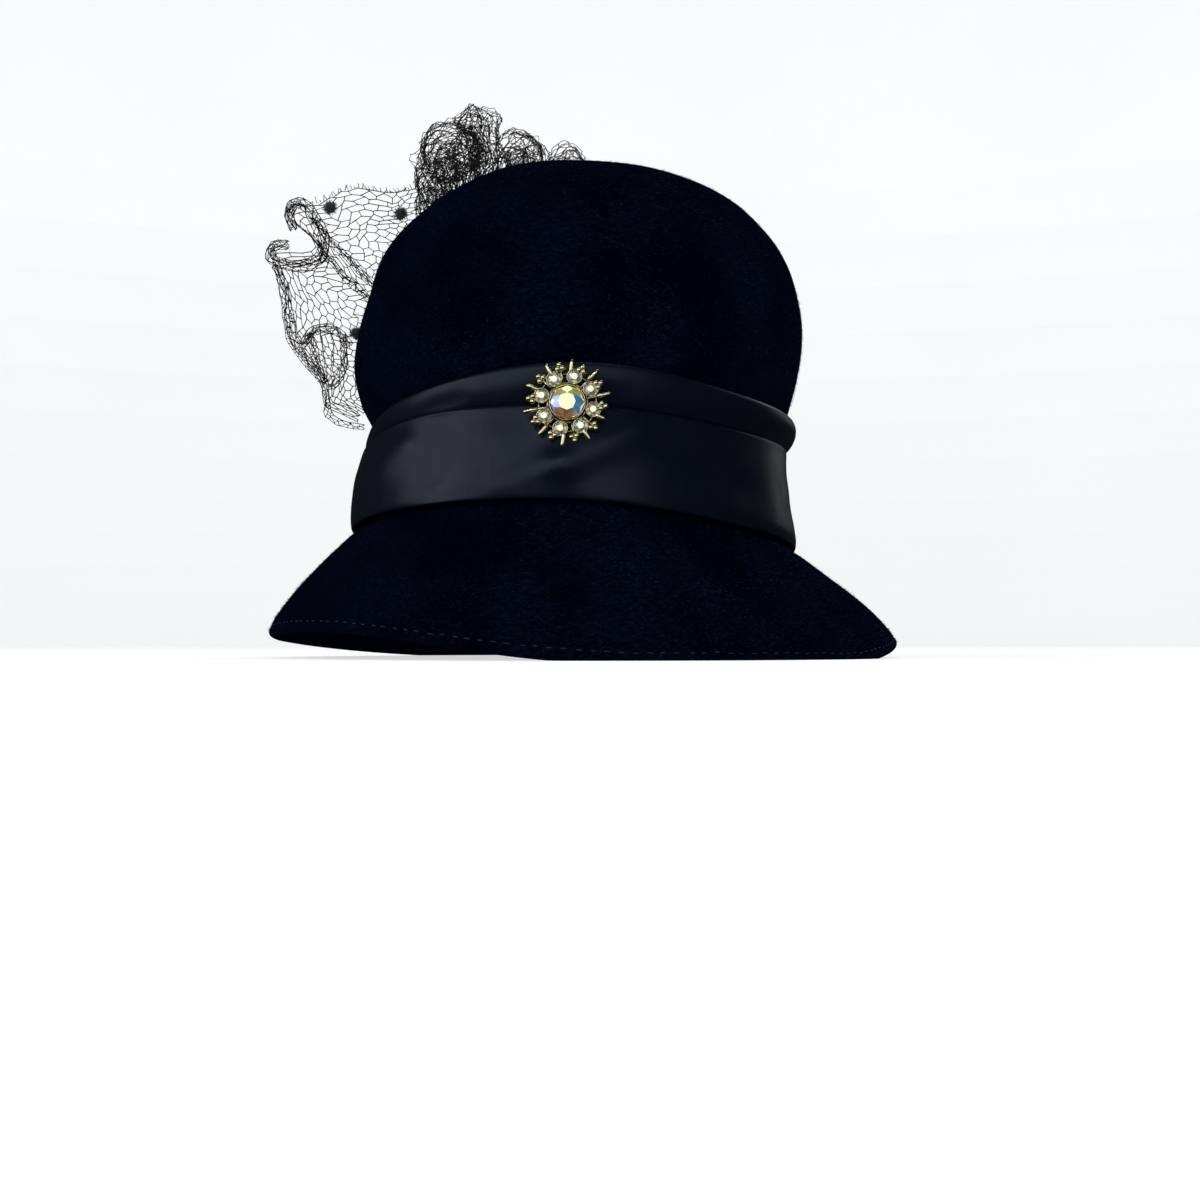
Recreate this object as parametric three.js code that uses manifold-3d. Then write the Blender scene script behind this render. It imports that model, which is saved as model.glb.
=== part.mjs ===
// A velour felt cloche hat: a blocked crown, a drooping brim on its own collar, a draped satin band
// with one pleat, a starburst brooch set with stones, and a spray of dotted veiling at the back left.
// Millimetres. +X is the wearer's left as seen from the front, +Y the back of the hat, +Z up.
// Turns are measured from +X towards the back: 0 right, 90 back, 180 left, 270 front.
import * as THREE from "three";
import { mergeVertices } from "three/addons/utils/BufferGeometryUtils.js";
import Module from "manifold-3d";

// Felt crown
const CROWN_HALF_WIDTH = 86;
const CROWN_HALF_LENGTH = 101;
const CROWN_HEIGHT = 138;
const CROWN_FELT = 2.4;
const CROWN_SEAM_RISE = 4;

// Felt brim
const BRIM_DROP = 47;
const BRIM_HALF_WIDTH = 121;
const BRIM_HALF_LENGTH = 130;
const BRIM_SHIFT = 2;
const BRIM_RISE = 8.5;
const BRIM_FELT = 2.6;
const HEM_THICKNESS = 4.2;
const HEM_FLAT = 2.4;
const COLLAR_HEIGHT = 9;

// Satin band
const BAND_WIDTH = 45;
const BAND_LIFT = 3.4;
const BAND_FOOT_CLEARANCE = 0.9;

// Brooch, seen from its front
const BROOCH_RADIUS = 14.2;
const BROOCH_TURN = 268.5;
const BROOCH_PLACE = 0.69;
const BROOCH_PLATE_RADIUS = 10.8;
const BROOCH_PLATE = 1.1;
const RAY_COUNT = 10;
const RAY_WIDTH = 1.4;
const SPRIG_REACH = 11.2;
const SPRIG_BALL = 1.15;
const CENTRE_STONE_RADIUS = 5.5;
const CENTRE_STONE_HEIGHT = 3.6;
const SMALL_STONE_COUNT = 8;
const SMALL_STONE_RADIUS = 2.1;
const SMALL_STONE_HEIGHT = 1.7;
const SMALL_STONE_CIRCLE = 8.9;
const CUP_WALL = 0.5;
const CENTRE_CUP_HEIGHT = 2.3;
const SMALL_CUP_HEIGHT = 1.2;
const PIN_LENGTH = 16;
const PIN_WIRE = 0.9;
const PIN_DEPTH = 1.2;
const PIN_BELOW_CENTRE = 4.5;

// Veiling
const NET_THICKNESS = 1.2;
const NET_CLEARANCE = 0.8;
const NET_STRAND = 0.3;
const FAN_ROOT_TURN = 138;
const FAN_ROOT_LOW = 0.47;
const FAN_ROOT_HIGH = 0.87;
const FAN_BOW = 9;
const FAN_PLEATS = 6;
const FAN_PLEAT_DEPTH = 4;
const FAN_GAPS_ALONG = 13;
const FAN_GAPS_OUT = 4;
const RUFFLE_FRONT = 0.1;
const RUFFLE_BACK = 0.37;
const RUFFLE_GAPS_ALONG = 25;
const RUFFLE_GAPS_ACROSS = 2;
const DOT_RADIUS = 2.4;

// Fit and smoothness
const GAP = 0.3;
const SEAT_GAP = 0.6;
const COLUMNS = 44;
const CROWN_ROWS = 14;

// The crown's plan at rising heights. up is a share of the crown's height above its foot; left and right are
// shares of the half width, front and back of the half length. The waist at up 0.24 lies under the band.
const CROWN_PROFILE = [
  { up: 0.0, left: 0.975, right: 0.935, front: 0.985, back: 0.985 },
  { up: 0.12, left: 0.955, right: 0.905, front: 0.968, back: 0.97 },
  { up: 0.24, left: 0.915, right: 0.895, front: 0.955, back: 0.955 },
  { up: 0.35, left: 0.985, right: 0.955, front: 0.985, back: 0.98 },
  { up: 0.45, left: 1.012, right: 0.997, front: 1.0, back: 0.99 },
  { up: 0.55, left: 0.99, right: 1.019, front: 1.0, back: 0.985 },
  { up: 0.65, left: 0.94, right: 1.006, front: 0.975, back: 0.965 },
  { up: 0.75, left: 0.892, right: 0.954, front: 0.925, back: 0.92 },
  { up: 0.83, left: 0.825, right: 0.873, front: 0.85, back: 0.85 },
  { up: 0.9, left: 0.718, right: 0.757, front: 0.745, back: 0.75 },
  { up: 0.955, left: 0.55, right: 0.59, front: 0.59, back: 0.6 },
  { up: 0.988, left: 0.32, right: 0.34, front: 0.35, back: 0.35 },
  { up: 1.0, left: 0, right: 0, front: 0, back: 0 },
];

// Soft dents in the crown: where, and how deep and wide as shares of the half width. A minus depth swells.
const CROWN_DENTS = [
  { turn: 200, up: 0.915, deep: 0.055, wide: 0.2 },
  { turn: 196, up: 0.79, deep: -0.02, wide: 0.18 },
  { turn: 250, up: 0.62, deep: 0.014, wide: 0.3 },
];

// The brim from its headline to its rim, as shares of its overhang and of its drop.
const BRIM_PROFILE = [
  { out: 0.0, down: 0.0 },
  { out: 0.16, down: 0.1 },
  { out: 0.34, down: 0.25 },
  { out: 0.51, down: 0.4 },
  { out: 0.67, down: 0.55 },
  { out: 0.82, down: 0.72 },
  { out: 0.94, down: 0.88 },
  { out: 1.0, down: 1.0 },
];

// Around the hat: foot is the headline's height as a share of the brim's drop; rise is how far the rim
// stands off the floor (below 0 it lies flat on it); fold and top are the heights of the band's pleat and
// upper edge above the headline as shares of its width; puff is the upper roll's fullness.
const STATIONS = [
  { turn: 0, foot: 0.86, rise: 0.8, fold: 0.84, top: 1.08, puff: 0.75 },
  { turn: 45, foot: 0.88, rise: 0.1, fold: 0.76, top: 1.02, puff: 0.5 },
  { turn: 90, foot: 0.92, rise: -0.2, fold: 0.71, top: 0.98, puff: 0.3 },
  { turn: 135, foot: 0.96, rise: 0.3, fold: 0.67, top: 0.85, puff: 0.3 },
  { turn: 180, foot: 1.01, rise: 1.0, fold: 0.63, top: 0.76, puff: 0.1 },
  { turn: 225, foot: 1.1, rise: 1.3, fold: 0.7, top: 0.88, puff: 0.25 },
  { turn: 270, foot: 1.12, rise: 0.12, fold: 0.7, top: 1.01, puff: 0.3 },
  { turn: 315, foot: 0.97, rise: -0.1, fold: 0.75, top: 1.02, puff: 0.45 },
];

// The band's outer face. upper rows run from the top edge (0) to the fold (1), lower rows from the fold to
// the foot; lift is a share of the band's lift, and puff how much of the station's puff is added.
const BAND_UPPER = [
  { at: 0.0, lift: 0.25, puff: 0.0 },
  { at: 0.12, lift: 0.6, puff: 0.5 },
  { at: 0.5, lift: 0.8, puff: 1.0 },
  { at: 0.88, lift: 0.6, puff: 0.6 },
  { at: 0.97, lift: 0.5, puff: 0.1 },
];
const BAND_LOWER = [
  { at: 0.0, lift: 0.8 },
  { at: 0.04, lift: 1.0 },
  { at: 0.3, lift: 1.15 },
  { at: 0.7, lift: 1.05 },
  { at: 0.97, lift: 1.0 },
  { at: 1.02, lift: 0.75 },
];

// The outer edge of the veiling's fan, from its top corner down. side and back are shares of the crown's
// half width and half length from its middle (minus is left or front); high is a share of its height above
// the headline.
const FAN_EDGE = [
  { side: -0.86, back: 0.26, high: 1.05 },
  { side: -0.99, back: 0.08, high: 1.02 },
  { side: -1.15, back: -0.05, high: 0.97 },
  { side: -1.29, back: -0.15, high: 0.91 },
  { side: -1.22, back: 0.0, high: 0.84 },
  { side: -1.36, back: -0.15, high: 0.78 },
  { side: -1.35, back: -0.02, high: 0.71 },
  { side: -1.32, back: -0.08, high: 0.59 },
  { side: -1.28, back: 0.02, high: 0.53 },
  { side: -1.19, back: -0.02, high: 0.46 },
  { side: -1.18, back: 0.06, high: 0.39 },
  { side: -1.04, back: 0.12, high: 0.35 },
];

// The veiling's upright ruffle over the crown's back: a row of loops seen from the front, each narrow at
// its feet. foot is the middle of a loop's feet and spread half their distance; side, high and round are
// the loop's centre and radius. high is a share of the crown's height above the headline, the others of
// its half width.
const RUFFLE_LOOPS = [
  { foot: -0.66, spread: 0.085, side: -0.625, high: 1.09, round: 0.157 },
  { foot: -0.43, spread: 0.047, side: -0.46, high: 1.22, round: 0.085 },
  { foot: -0.24, spread: 0.08, side: -0.24, high: 1.115, round: 0.105 },
  { foot: -0.04, spread: 0.062, side: -0.04, high: 1.095, round: 0.07 },
];

// Chenille dots on the fan: places along its edge and out from its root.
const DOTS = [
  { along: 0.19, out: 0.985 },
  { along: 0.03, out: 0.79 },
  { along: 0.615, out: 0.46 },
  { along: 0.36, out: 0.3 },
  { along: 0.86, out: 0.34 },
];

const felt = new THREE.MeshStandardMaterial({ color: 0x07090f, roughness: 0.95, metalness: 0 });
const satin = new THREE.MeshStandardMaterial({ color: 0x12151f, roughness: 0.42, metalness: 0 });
const gilt = new THREE.MeshStandardMaterial({ color: 0x8a7440, roughness: 0.38, metalness: 1 });
const crystal = new THREE.MeshStandardMaterial({ color: 0xcfd8e6, roughness: 0.06, metalness: 0 });
const net = new THREE.MeshStandardMaterial({ color: 0x14161d, roughness: 0.8, metalness: 0 });

const radians = THREE.MathUtils.degToRad;
const lerp = THREE.MathUtils.lerp;
const clamp = THREE.MathUtils.clamp;

// A cubic through four values, for smooth readings between a table's rows.
function cubic(a, b, c, d, f) {
  return b + 0.5 * f * (c - a + f * (2 * a - 5 * b + 4 * c - d + f * (3 * (b - c) + d - a)));
}

// A column of a table at a row number that may lie between rows.
function readRow(table, column, row) {
  const last = table.length - 1;
  const i = clamp(Math.floor(row), 0, last - 1);
  const at = (k) => table[clamp(k, 0, last)][column];
  return cubic(at(i - 1), at(i), at(i + 1), at(i + 2), row - i);
}

// A column of a table that goes all the way round the hat, at a turn in radians.
function readAround(table, column, turn) {
  const count = table.length;
  const row = (((turn / (2 * Math.PI)) % 1) + 1) % 1 * count;
  const i = Math.floor(row);
  const at = (k) => table[(k + count) % count][column];
  return cubic(at(i - 1), at(i), at(i + 1), at(i + 2), row - i);
}

// The row number at which a rising key column reaches a value.
function rowAt(table, key, value) {
  let low = 0;
  let high = table.length - 1;
  for (let step = 0; step < 30; step++) {
    const middle = (low + high) / 2;
    if (readRow(table, key, middle) < value) low = middle;
    else high = middle;
  }
  return (low + high) / 2;
}

// The height of the line where the brim leaves the crown.
function headline(turn) {
  return BRIM_DROP * readAround(STATIONS, "foot", turn);
}

const CROWN_TIP = BRIM_DROP + CROWN_HEIGHT;

// The height of the crown's lower edge, where it meets the brim's neck under the band.
function crownFoot(turn) {
  return headline(turn) + CROWN_SEAM_RISE;
}

// A point of the crown's outer face at a turn and a row of its profile, before the dents.
function plainCrown(turn, row) {
  const side = Math.cos(turn) < 0 ? "left" : "right";
  const end = Math.sin(turn) < 0 ? "front" : "back";
  const wide = CROWN_HALF_WIDTH * Math.max(0, readRow(CROWN_PROFILE, side, row));
  const long = CROWN_HALF_LENGTH * Math.max(0, readRow(CROWN_PROFILE, end, row));
  const up = readRow(CROWN_PROFILE, "up", row);
  const height = lerp(crownFoot(turn), CROWN_TIP, up);
  return new THREE.Vector3(wide * Math.cos(turn), long * Math.sin(turn), height);
}

const dentCentres = CROWN_DENTS.map((dent) =>
  plainCrown(radians(dent.turn), rowAt(CROWN_PROFILE, "up", dent.up)),
);

// The crown's outer face, with each dent pressed towards the middle of the crown.
function crownPoint(turn, row) {
  const point = plainCrown(turn, row);
  const inward = new THREE.Vector3(0, 0, lerp(BRIM_DROP, CROWN_TIP, 0.5)).sub(point).normalize();
  CROWN_DENTS.forEach((dent, i) => {
    const wide = dent.wide * CROWN_HALF_WIDTH;
    const fade = Math.exp(-point.distanceToSquared(dentCentres[i]) / (2 * wide * wide));
    point.addScaledVector(inward, dent.deep * CROWN_HALF_WIDTH * fade);
  });
  return point;
}

// The level outward direction of a plan curve at a turn.
function levelOutward(turn, halfWidth, halfLength) {
  return new THREE.Vector3(Math.cos(turn) / halfWidth, Math.sin(turn) / halfLength, 0).normalize();
}

// The crown's outer face at a turn and height, on its facets, moved level outwards by a distance.
function besideCrown(turn, height, distance) {
  let k = 1;
  while (k < CROWN_ROWS - 1 && crownPoint(turn, crownRow(k)).z < height) k++;
  const below = crownPoint(turn, crownRow(k - 1));
  const above = crownPoint(turn, crownRow(k));
  const point = below.clone().lerp(above, clamp((height - below.z) / (above.z - below.z), 0, 1));
  point.z = height;
  return point.addScaledVector(levelOutward(turn, CROWN_HALF_WIDTH, CROWN_HALF_LENGTH), distance);
}

// The profile row of one of the crown's rings of facets.
function crownRow(k) {
  return ((CROWN_PROFILE.length - 1) * k) / CROWN_ROWS;
}

// The outward direction of a surface given by two parameters.
function outwardOf(surface, a, b, stepA, stepB, downEnd) {
  const alongA = surface(a + stepA, b).sub(surface(a - stepA, b));
  const high = Math.min(b + stepB, downEnd);
  const alongB = surface(a, high).sub(surface(a, Math.max(b - stepB, 0)));
  return alongA.cross(alongB).normalize();
}

// A closed solid from rings of points. Each ring has the same number of points. The rings join in order and
// the last joins the first, or each end closes on its own tip where tips are given.
function skin(rings, tips) {
  const count = rings[0].length;
  const positions = rings.flat().flatMap((p) => [p.x, p.y, p.z]);
  const index = [];
  const bands = tips ? rings.length - 1 : rings.length;
  for (let r = 0; r < bands; r++) {
    const next = ((r + 1) % rings.length) * count;
    for (let c = 0; c < count; c++) {
      const d = (c + 1) % count;
      const [p, q, s, t] = [r * count + c, r * count + d, next + c, next + d];
      index.push(p, q, s, q, t, s);
    }
  }
  if (tips) {
    const [first, last] = [positions.length / 3, positions.length / 3 + 1];
    for (const tip of tips) positions.push(tip.x, tip.y, tip.z);
    const end = (rings.length - 1) * count;
    for (let c = 0; c < count; c++) {
      const d = (c + 1) % count;
      index.push(first, d, c, last, end + c, end + d);
    }
  }
  return facingOut(positions, index);
}

// A geometry whose faces point out, whichever way its rings ran.
function facingOut(positions, index) {
  const corner = (i) => new THREE.Vector3(positions[3 * i], positions[3 * i + 1], positions[3 * i + 2]);
  let volume = 0;
  for (let i = 0; i < index.length; i += 3) {
    volume += corner(index[i]).dot(corner(index[i + 1]).cross(corner(index[i + 2])));
  }
  const turned = volume < 0 ? index.map((_, i) => index[i - (i % 3) + (2 - (i % 3))]) : index;
  const geometry = new THREE.BufferGeometry();
  geometry.setAttribute("position", new THREE.Float32BufferAttribute(positions, 3));
  geometry.setIndex(turned);
  geometry.computeVertexNormals();
  return geometry;
}

function named(name, geometry, material) {
  const mesh = new THREE.Mesh(geometry, material);
  mesh.name = name;
  return mesh;
}

const turns = Array.from({ length: COLUMNS }, (_, c) => (2 * Math.PI * c) / COLUMNS);

// Booleans work on merged solids
const wasm = await Module();
wasm.setup();

function solidOf(geometry) {
  const bare = geometry.clone();
  for (const extra of ["normal", "uv"]) bare.deleteAttribute(extra);
  const merged = mergeVertices(bare, 1e-4);
  const vertProperties = new Float32Array(merged.attributes.position.array);
  const triVerts = new Uint32Array(merged.index.array);
  return new wasm.Manifold(new wasm.Mesh({ numProp: 3, vertProperties, triVerts }));
}

function geometryOf(solid) {
  const mesh = solid.getMesh();
  const geometry = new THREE.BufferGeometry();
  geometry.setAttribute("position", new THREE.Float32BufferAttribute(mesh.vertProperties, 3));
  geometry.setIndex(Array.from(mesh.triVerts));
  geometry.computeVertexNormals();
  return geometry;
}

// Crown: a felt wall of even thickness with a closed tip
function makeCrown() {
  const last = CROWN_PROFILE.length - 1;
  const outside = [];
  const inside = [];
  for (let k = 0; k < CROWN_ROWS; k++) {
    const row = crownRow(k);
    outside.push(turns.map((turn) => crownPoint(turn, row)));
    inside.push(
      turns.map((turn) => {
        const out = outwardOf(crownPoint, turn, row, 0.02, 0.05, last);
        if (k === 0) out.copy(levelOutward(turn, CROWN_HALF_WIDTH, CROWN_HALF_LENGTH));
        return crownPoint(turn, row).addScaledVector(out, -CROWN_FELT);
      }),
    );
  }
  const tip = new THREE.Vector3(0, 0, CROWN_TIP);
  const innerTip = tip.clone().setZ(CROWN_TIP - CROWN_FELT);
  return named("crown", skin([...outside.reverse(), ...inside], [tip, innerTip]), felt);
}

// How far the rim stands off the floor. It lies flat where the stations say less than nothing.
function rimRise(turn) {
  return BRIM_RISE * Math.max(0, readAround(STATIONS, "rise", turn));
}

// The brim's upper face, from the headline (0) to the rim (1).
function brimPoint(turn, share) {
  const row = share * (BRIM_PROFILE.length - 1);
  const out = readRow(BRIM_PROFILE, "out", row);
  const down = readRow(BRIM_PROFILE, "down", row);
  const from = crownPoint(turn, 0);
  const rim = new THREE.Vector3(
    BRIM_SHIFT + BRIM_HALF_WIDTH * Math.cos(turn),
    BRIM_HALF_LENGTH * Math.sin(turn),
    rimRise(turn),
  );
  return new THREE.Vector3(
    lerp(from.x, rim.x, out),
    lerp(from.y, rim.y, out),
    lerp(headline(turn), rim.z, down),
  );
}

// Brim: a collar inside the crown's foot, the flare, and a thicker hem whose edge is flat where it rests
function makeBrim() {
  const steps = BRIM_PROFILE.length - 1;
  const rings = [];
  const inner = [];
  const collarDepth = CROWN_FELT + SEAT_GAP;
  const neck = (rise, depth) => turns.map((turn) => besideCrown(turn, crownFoot(turn) + rise, -depth));
  rings.push(neck(COLLAR_HEIGHT, collarDepth), neck(-GAP, collarDepth), neck(-GAP, 0));
  for (let k = 0; k <= steps; k++) {
    rings.push(turns.map((turn) => brimPoint(turn, k / steps)));
    const hem = THREE.MathUtils.smoothstep(k / steps, 0.75, 0.95);
    const thick = lerp(BRIM_FELT, HEM_THICKNESS, hem);
    inner.push(
      turns.map((turn) => {
        const point = brimPoint(turn, k / steps);
        const out = outwardOf(brimPoint, turn, k / steps, 0.02, 0.05, 1);
        if (out.z < 0) out.negate();
        return point.addScaledVector(out, -thick);
      }),
    );
  }
  // The edge: a small chamfer outside, then the flat that meets the floor
  const edge = (inset) =>
    turns.map((turn) =>
      brimPoint(turn, 1)
        .addScaledVector(levelOutward(turn, BRIM_HALF_WIDTH, BRIM_HALF_LENGTH), -inset)
        .setZ(rimRise(turn)),
    );
  rings.pop();
  const lip = turns.map((turn) => brimPoint(turn, 1).setZ(rimRise(turn) + HEM_THICKNESS / 4));
  rings.push(lip, edge(HEM_THICKNESS / 6), edge(HEM_THICKNESS / 6 + HEM_FLAT));
  inner.pop();
  rings.push(...inner.reverse());
  rings.push(neck(COLLAR_HEIGHT, collarDepth + BRIM_FELT));
  return named("brim", skin(rings), felt);
}

// The heights of the band's top edge, fold and foot at a turn.
function bandHeights(turn) {
  const foot = headline(turn) + BAND_FOOT_CLEARANCE;
  return {
    foot,
    fold: foot + BAND_WIDTH * readAround(STATIONS, "fold", turn),
    top: foot + BAND_WIDTH * readAround(STATIONS, "top", turn),
    puff: BAND_LIFT * readAround(STATIONS, "puff", turn),
  };
}

// The band's outer face from the top edge down, as points at one turn.
function bandOutside(turn) {
  const { foot, fold, top, puff } = bandHeights(turn);
  const at = (height, lift) => besideCrown(turn, height, SEAT_GAP + lift);
  return [
    ...BAND_UPPER.map((row) => at(lerp(top, fold, row.at), row.lift * BAND_LIFT + row.puff * puff)),
    ...BAND_LOWER.map((row) => at(lerp(fold, foot, row.at), row.lift * BAND_LIFT)),
  ];
}

// The band's outer face at a turn and height
function bandFace(turn, height) {
  const section = bandOutside(turn);
  let k = 1;
  while (k < section.length - 1 && section[k].z > height) k++;
  const [above, below] = [section[k - 1], section[k]];
  return above.clone().lerp(below, clamp((above.z - height) / (above.z - below.z), 0, 1));
}

function bandInside(turn) {
  const { foot, top } = bandHeights(turn);
  return [0, 0.2, 0.4, 0.6, 0.8, 1].map((share) => besideCrown(turn, lerp(foot, top, share), SEAT_GAP));
}

// Band: a draped wall round the crown's foot, with a groove that the brooch's pin runs in
function makeBand(groove) {
  const sections = turns.map((turn) => [...bandOutside(turn), ...bandInside(turn)]);
  const rings = sections[0].map((_, k) => sections.map((section) => section[k]));
  return named("satin_band", geometryOf(solidOf(skin(rings)).subtract(groove)), satin);
}

// A round bar along +Z between two heights
function rod(radius, from, to, sides) {
  const geometry = new THREE.CylinderGeometry(radius, radius, to - from, sides);
  geometry.rotateX(Math.PI / 2);
  geometry.translate(0, 0, (from + to) / 2);
  return solidOf(geometry);
}

// A cut stone: a girdle wall and a sloping crown of facets round a flat table
function stone(radius, height, facets) {
  const floor = BROOCH_PLATE / 2 + GAP / 2;
  const ring = (share, up, shift) =>
    Array.from({ length: facets }, (_, i) => {
      const angle = (2 * Math.PI * (i + shift)) / facets;
      return new THREE.Vector3(Math.cos(angle), Math.sin(angle), 0)
        .multiplyScalar(radius * share)
        .setZ(floor + height * up);
    });
  const axis = (up) => new THREE.Vector3(0, 0, floor + height * up);
  return skin([ring(1, 0, 0), ring(1, 0.45, 0), ring(0.56, 1, 0.5)], [axis(0), axis(1)]);
}

// A tapered bar that lies along a direction in the brooch's plane.
function ray(angle, from, to, width, height) {
  const shape = new THREE.Shape();
  shape.moveTo(from, -width / 2);
  shape.lineTo(lerp(from, to, 0.8), -width / 2);
  shape.lineTo(to, -width / 5);
  shape.lineTo(to, width / 5);
  shape.lineTo(lerp(from, to, 0.8), width / 2);
  shape.lineTo(from, width / 2);
  const geometry = new THREE.ExtrudeGeometry(shape, { depth: height, bevelEnabled: false });
  geometry.rotateZ(angle);
  return geometry;
}

// The brooch's setting: a plate with rays, three-ball sprigs between them, and cups for the stones
function makeSetting() {
  let solid = rod(BROOCH_PLATE_RADIUS, 0, BROOCH_PLATE, 20);
  const join = (geometry) => {
    solid = solid.add(solidOf(geometry));
  };
  for (let i = 0; i < RAY_COUNT; i++) {
    const rayAngle = (2 * Math.PI * (i + 0.33)) / RAY_COUNT;
    join(ray(rayAngle, BROOCH_PLATE_RADIUS * 0.8, BROOCH_RADIUS, RAY_WIDTH, BROOCH_PLATE * 0.9));
    const sprigAngle = rayAngle + Math.PI / RAY_COUNT;
    for (const [side, reach] of [[-0.85, 0], [0.85, 0], [0, 1.25]]) {
      const ball = new THREE.IcosahedronGeometry(SPRIG_BALL, 0);
      ball.translate(SPRIG_REACH + reach * SPRIG_BALL, side * SPRIG_BALL, BROOCH_PLATE);
      ball.rotateZ(sprigAngle);
      join(ball);
    }
  }
  const cups = smallStonePlaces().map((place) => [place, SMALL_STONE_RADIUS, SMALL_CUP_HEIGHT, 10]);
  cups.push([new THREE.Vector3(), CENTRE_STONE_RADIUS, CENTRE_CUP_HEIGHT, 16]);
  const floor = BROOCH_PLATE / 2;
  for (const [place, radius, height, sides] of cups) {
    const bore = radius + GAP / 2;
    const post = rod(bore + CUP_WALL, 0, floor + height, sides).translate(place.toArray());
    const pocket = rod(bore, floor, floor + 2 * height, sides).translate(place.toArray());
    solid = solid.add(post).subtract(pocket);
  }
  return named("brooch_setting", geometryOf(solid), gilt);
}

function smallStonePlaces() {
  return Array.from({ length: SMALL_STONE_COUNT }, (_, i) => {
    const angle = (2 * Math.PI * (i + 0.66)) / SMALL_STONE_COUNT;
    return new THREE.Vector3(SMALL_STONE_CIRCLE * Math.cos(angle), SMALL_STONE_CIRCLE * Math.sin(angle), 0);
  });
}

// The pin: a plain bar that runs inside the band, with a leg up to the setting's back at each end
function pinGeometry(wire) {
  const half = PIN_LENGTH / 2;
  const extra = (wire - PIN_WIRE) / 2;
  const bar = new THREE.BoxGeometry(PIN_LENGTH + 2 * extra, wire, wire);
  bar.translate(0, 0, -PIN_DEPTH - PIN_WIRE / 2);
  let solid = solidOf(bar);
  for (const side of [-1, 1]) {
    const leg = new THREE.BoxGeometry(wire, wire, PIN_DEPTH + PIN_WIRE + extra);
    leg.translate(side * (half - PIN_WIRE / 2), 0, -(PIN_DEPTH + PIN_WIRE - extra) / 2);
    solid = solid.add(solidOf(leg));
  }
  return solid;
}

const crown = makeCrown();
const brim = makeBrim();

// The brooch lies against the band: its back leans with the band's outer face and is just clear of its
// fullest place
const broochTurn = radians(BROOCH_TURN);
const broochSpan = bandHeights(broochTurn);
const broochHeight = lerp(broochSpan.foot, broochSpan.top, BROOCH_PLACE);
const broochCentre = bandFace(broochTurn, broochHeight);
const broochUp = bandFace(broochTurn, broochHeight + 0.8 * BROOCH_RADIUS)
  .sub(bandFace(broochTurn, broochHeight - 0.8 * BROOCH_RADIUS))
  .normalize();
const broochFacing = levelOutward(broochTurn, CROWN_HALF_WIDTH, CROWN_HALF_LENGTH);
const broochRight = broochUp.clone().cross(broochFacing).normalize();
const broochOut = broochRight.clone().cross(broochUp);
let fullest = 0;
for (let step = -8; step <= 8; step++) {
  const turn = broochTurn + (step * BROOCH_RADIUS) / (8 * CROWN_HALF_LENGTH);
  for (let rise = -BROOCH_RADIUS; rise <= BROOCH_RADIUS; rise += BROOCH_RADIUS / 16) {
    const reach = bandFace(turn, broochHeight + rise).sub(broochCentre);
    const sideways = Math.hypot(reach.dot(broochRight), reach.dot(broochUp));
    if (sideways < BROOCH_RADIUS) fullest = Math.max(fullest, reach.dot(broochOut));
  }
}
const brooch = new THREE.Group();
brooch.position.copy(broochCentre).addScaledVector(broochOut, fullest + GAP);
brooch.quaternion.setFromRotationMatrix(new THREE.Matrix4().makeBasis(broochRight, broochUp, broochOut));
brooch.add(makeSetting());
brooch.add(named("centre_stone", stone(CENTRE_STONE_RADIUS, CENTRE_STONE_HEIGHT, 12), crystal));
smallStonePlaces().forEach((place, i) => {
  const mesh = named("small_stone_" + (i + 1), stone(SMALL_STONE_RADIUS, SMALL_STONE_HEIGHT, 8), crystal);
  mesh.position.copy(place);
  brooch.add(mesh);
});
const pin = named("brooch_pin", geometryOf(pinGeometry(PIN_WIRE)), gilt);
pin.position.set(0, -PIN_BELOW_CENTRE, -GAP);
brooch.add(pin);
brooch.updateMatrixWorld(true);
const groove = solidOf(geometryOf(pinGeometry(PIN_WIRE + 2 * GAP)).applyMatrix4(pin.matrixWorld));
const band = makeBand(groove);

// The direction through a sheet at a place on it, read by two shares.
function throughSheet(surface, a, b) {
  const step = 0.004;
  const alongA = surface(a + step, b).sub(surface(a - step, b));
  const alongB = surface(a, b + step).sub(surface(a, b - step));
  return alongA.cross(alongB).normalize();
}

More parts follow.
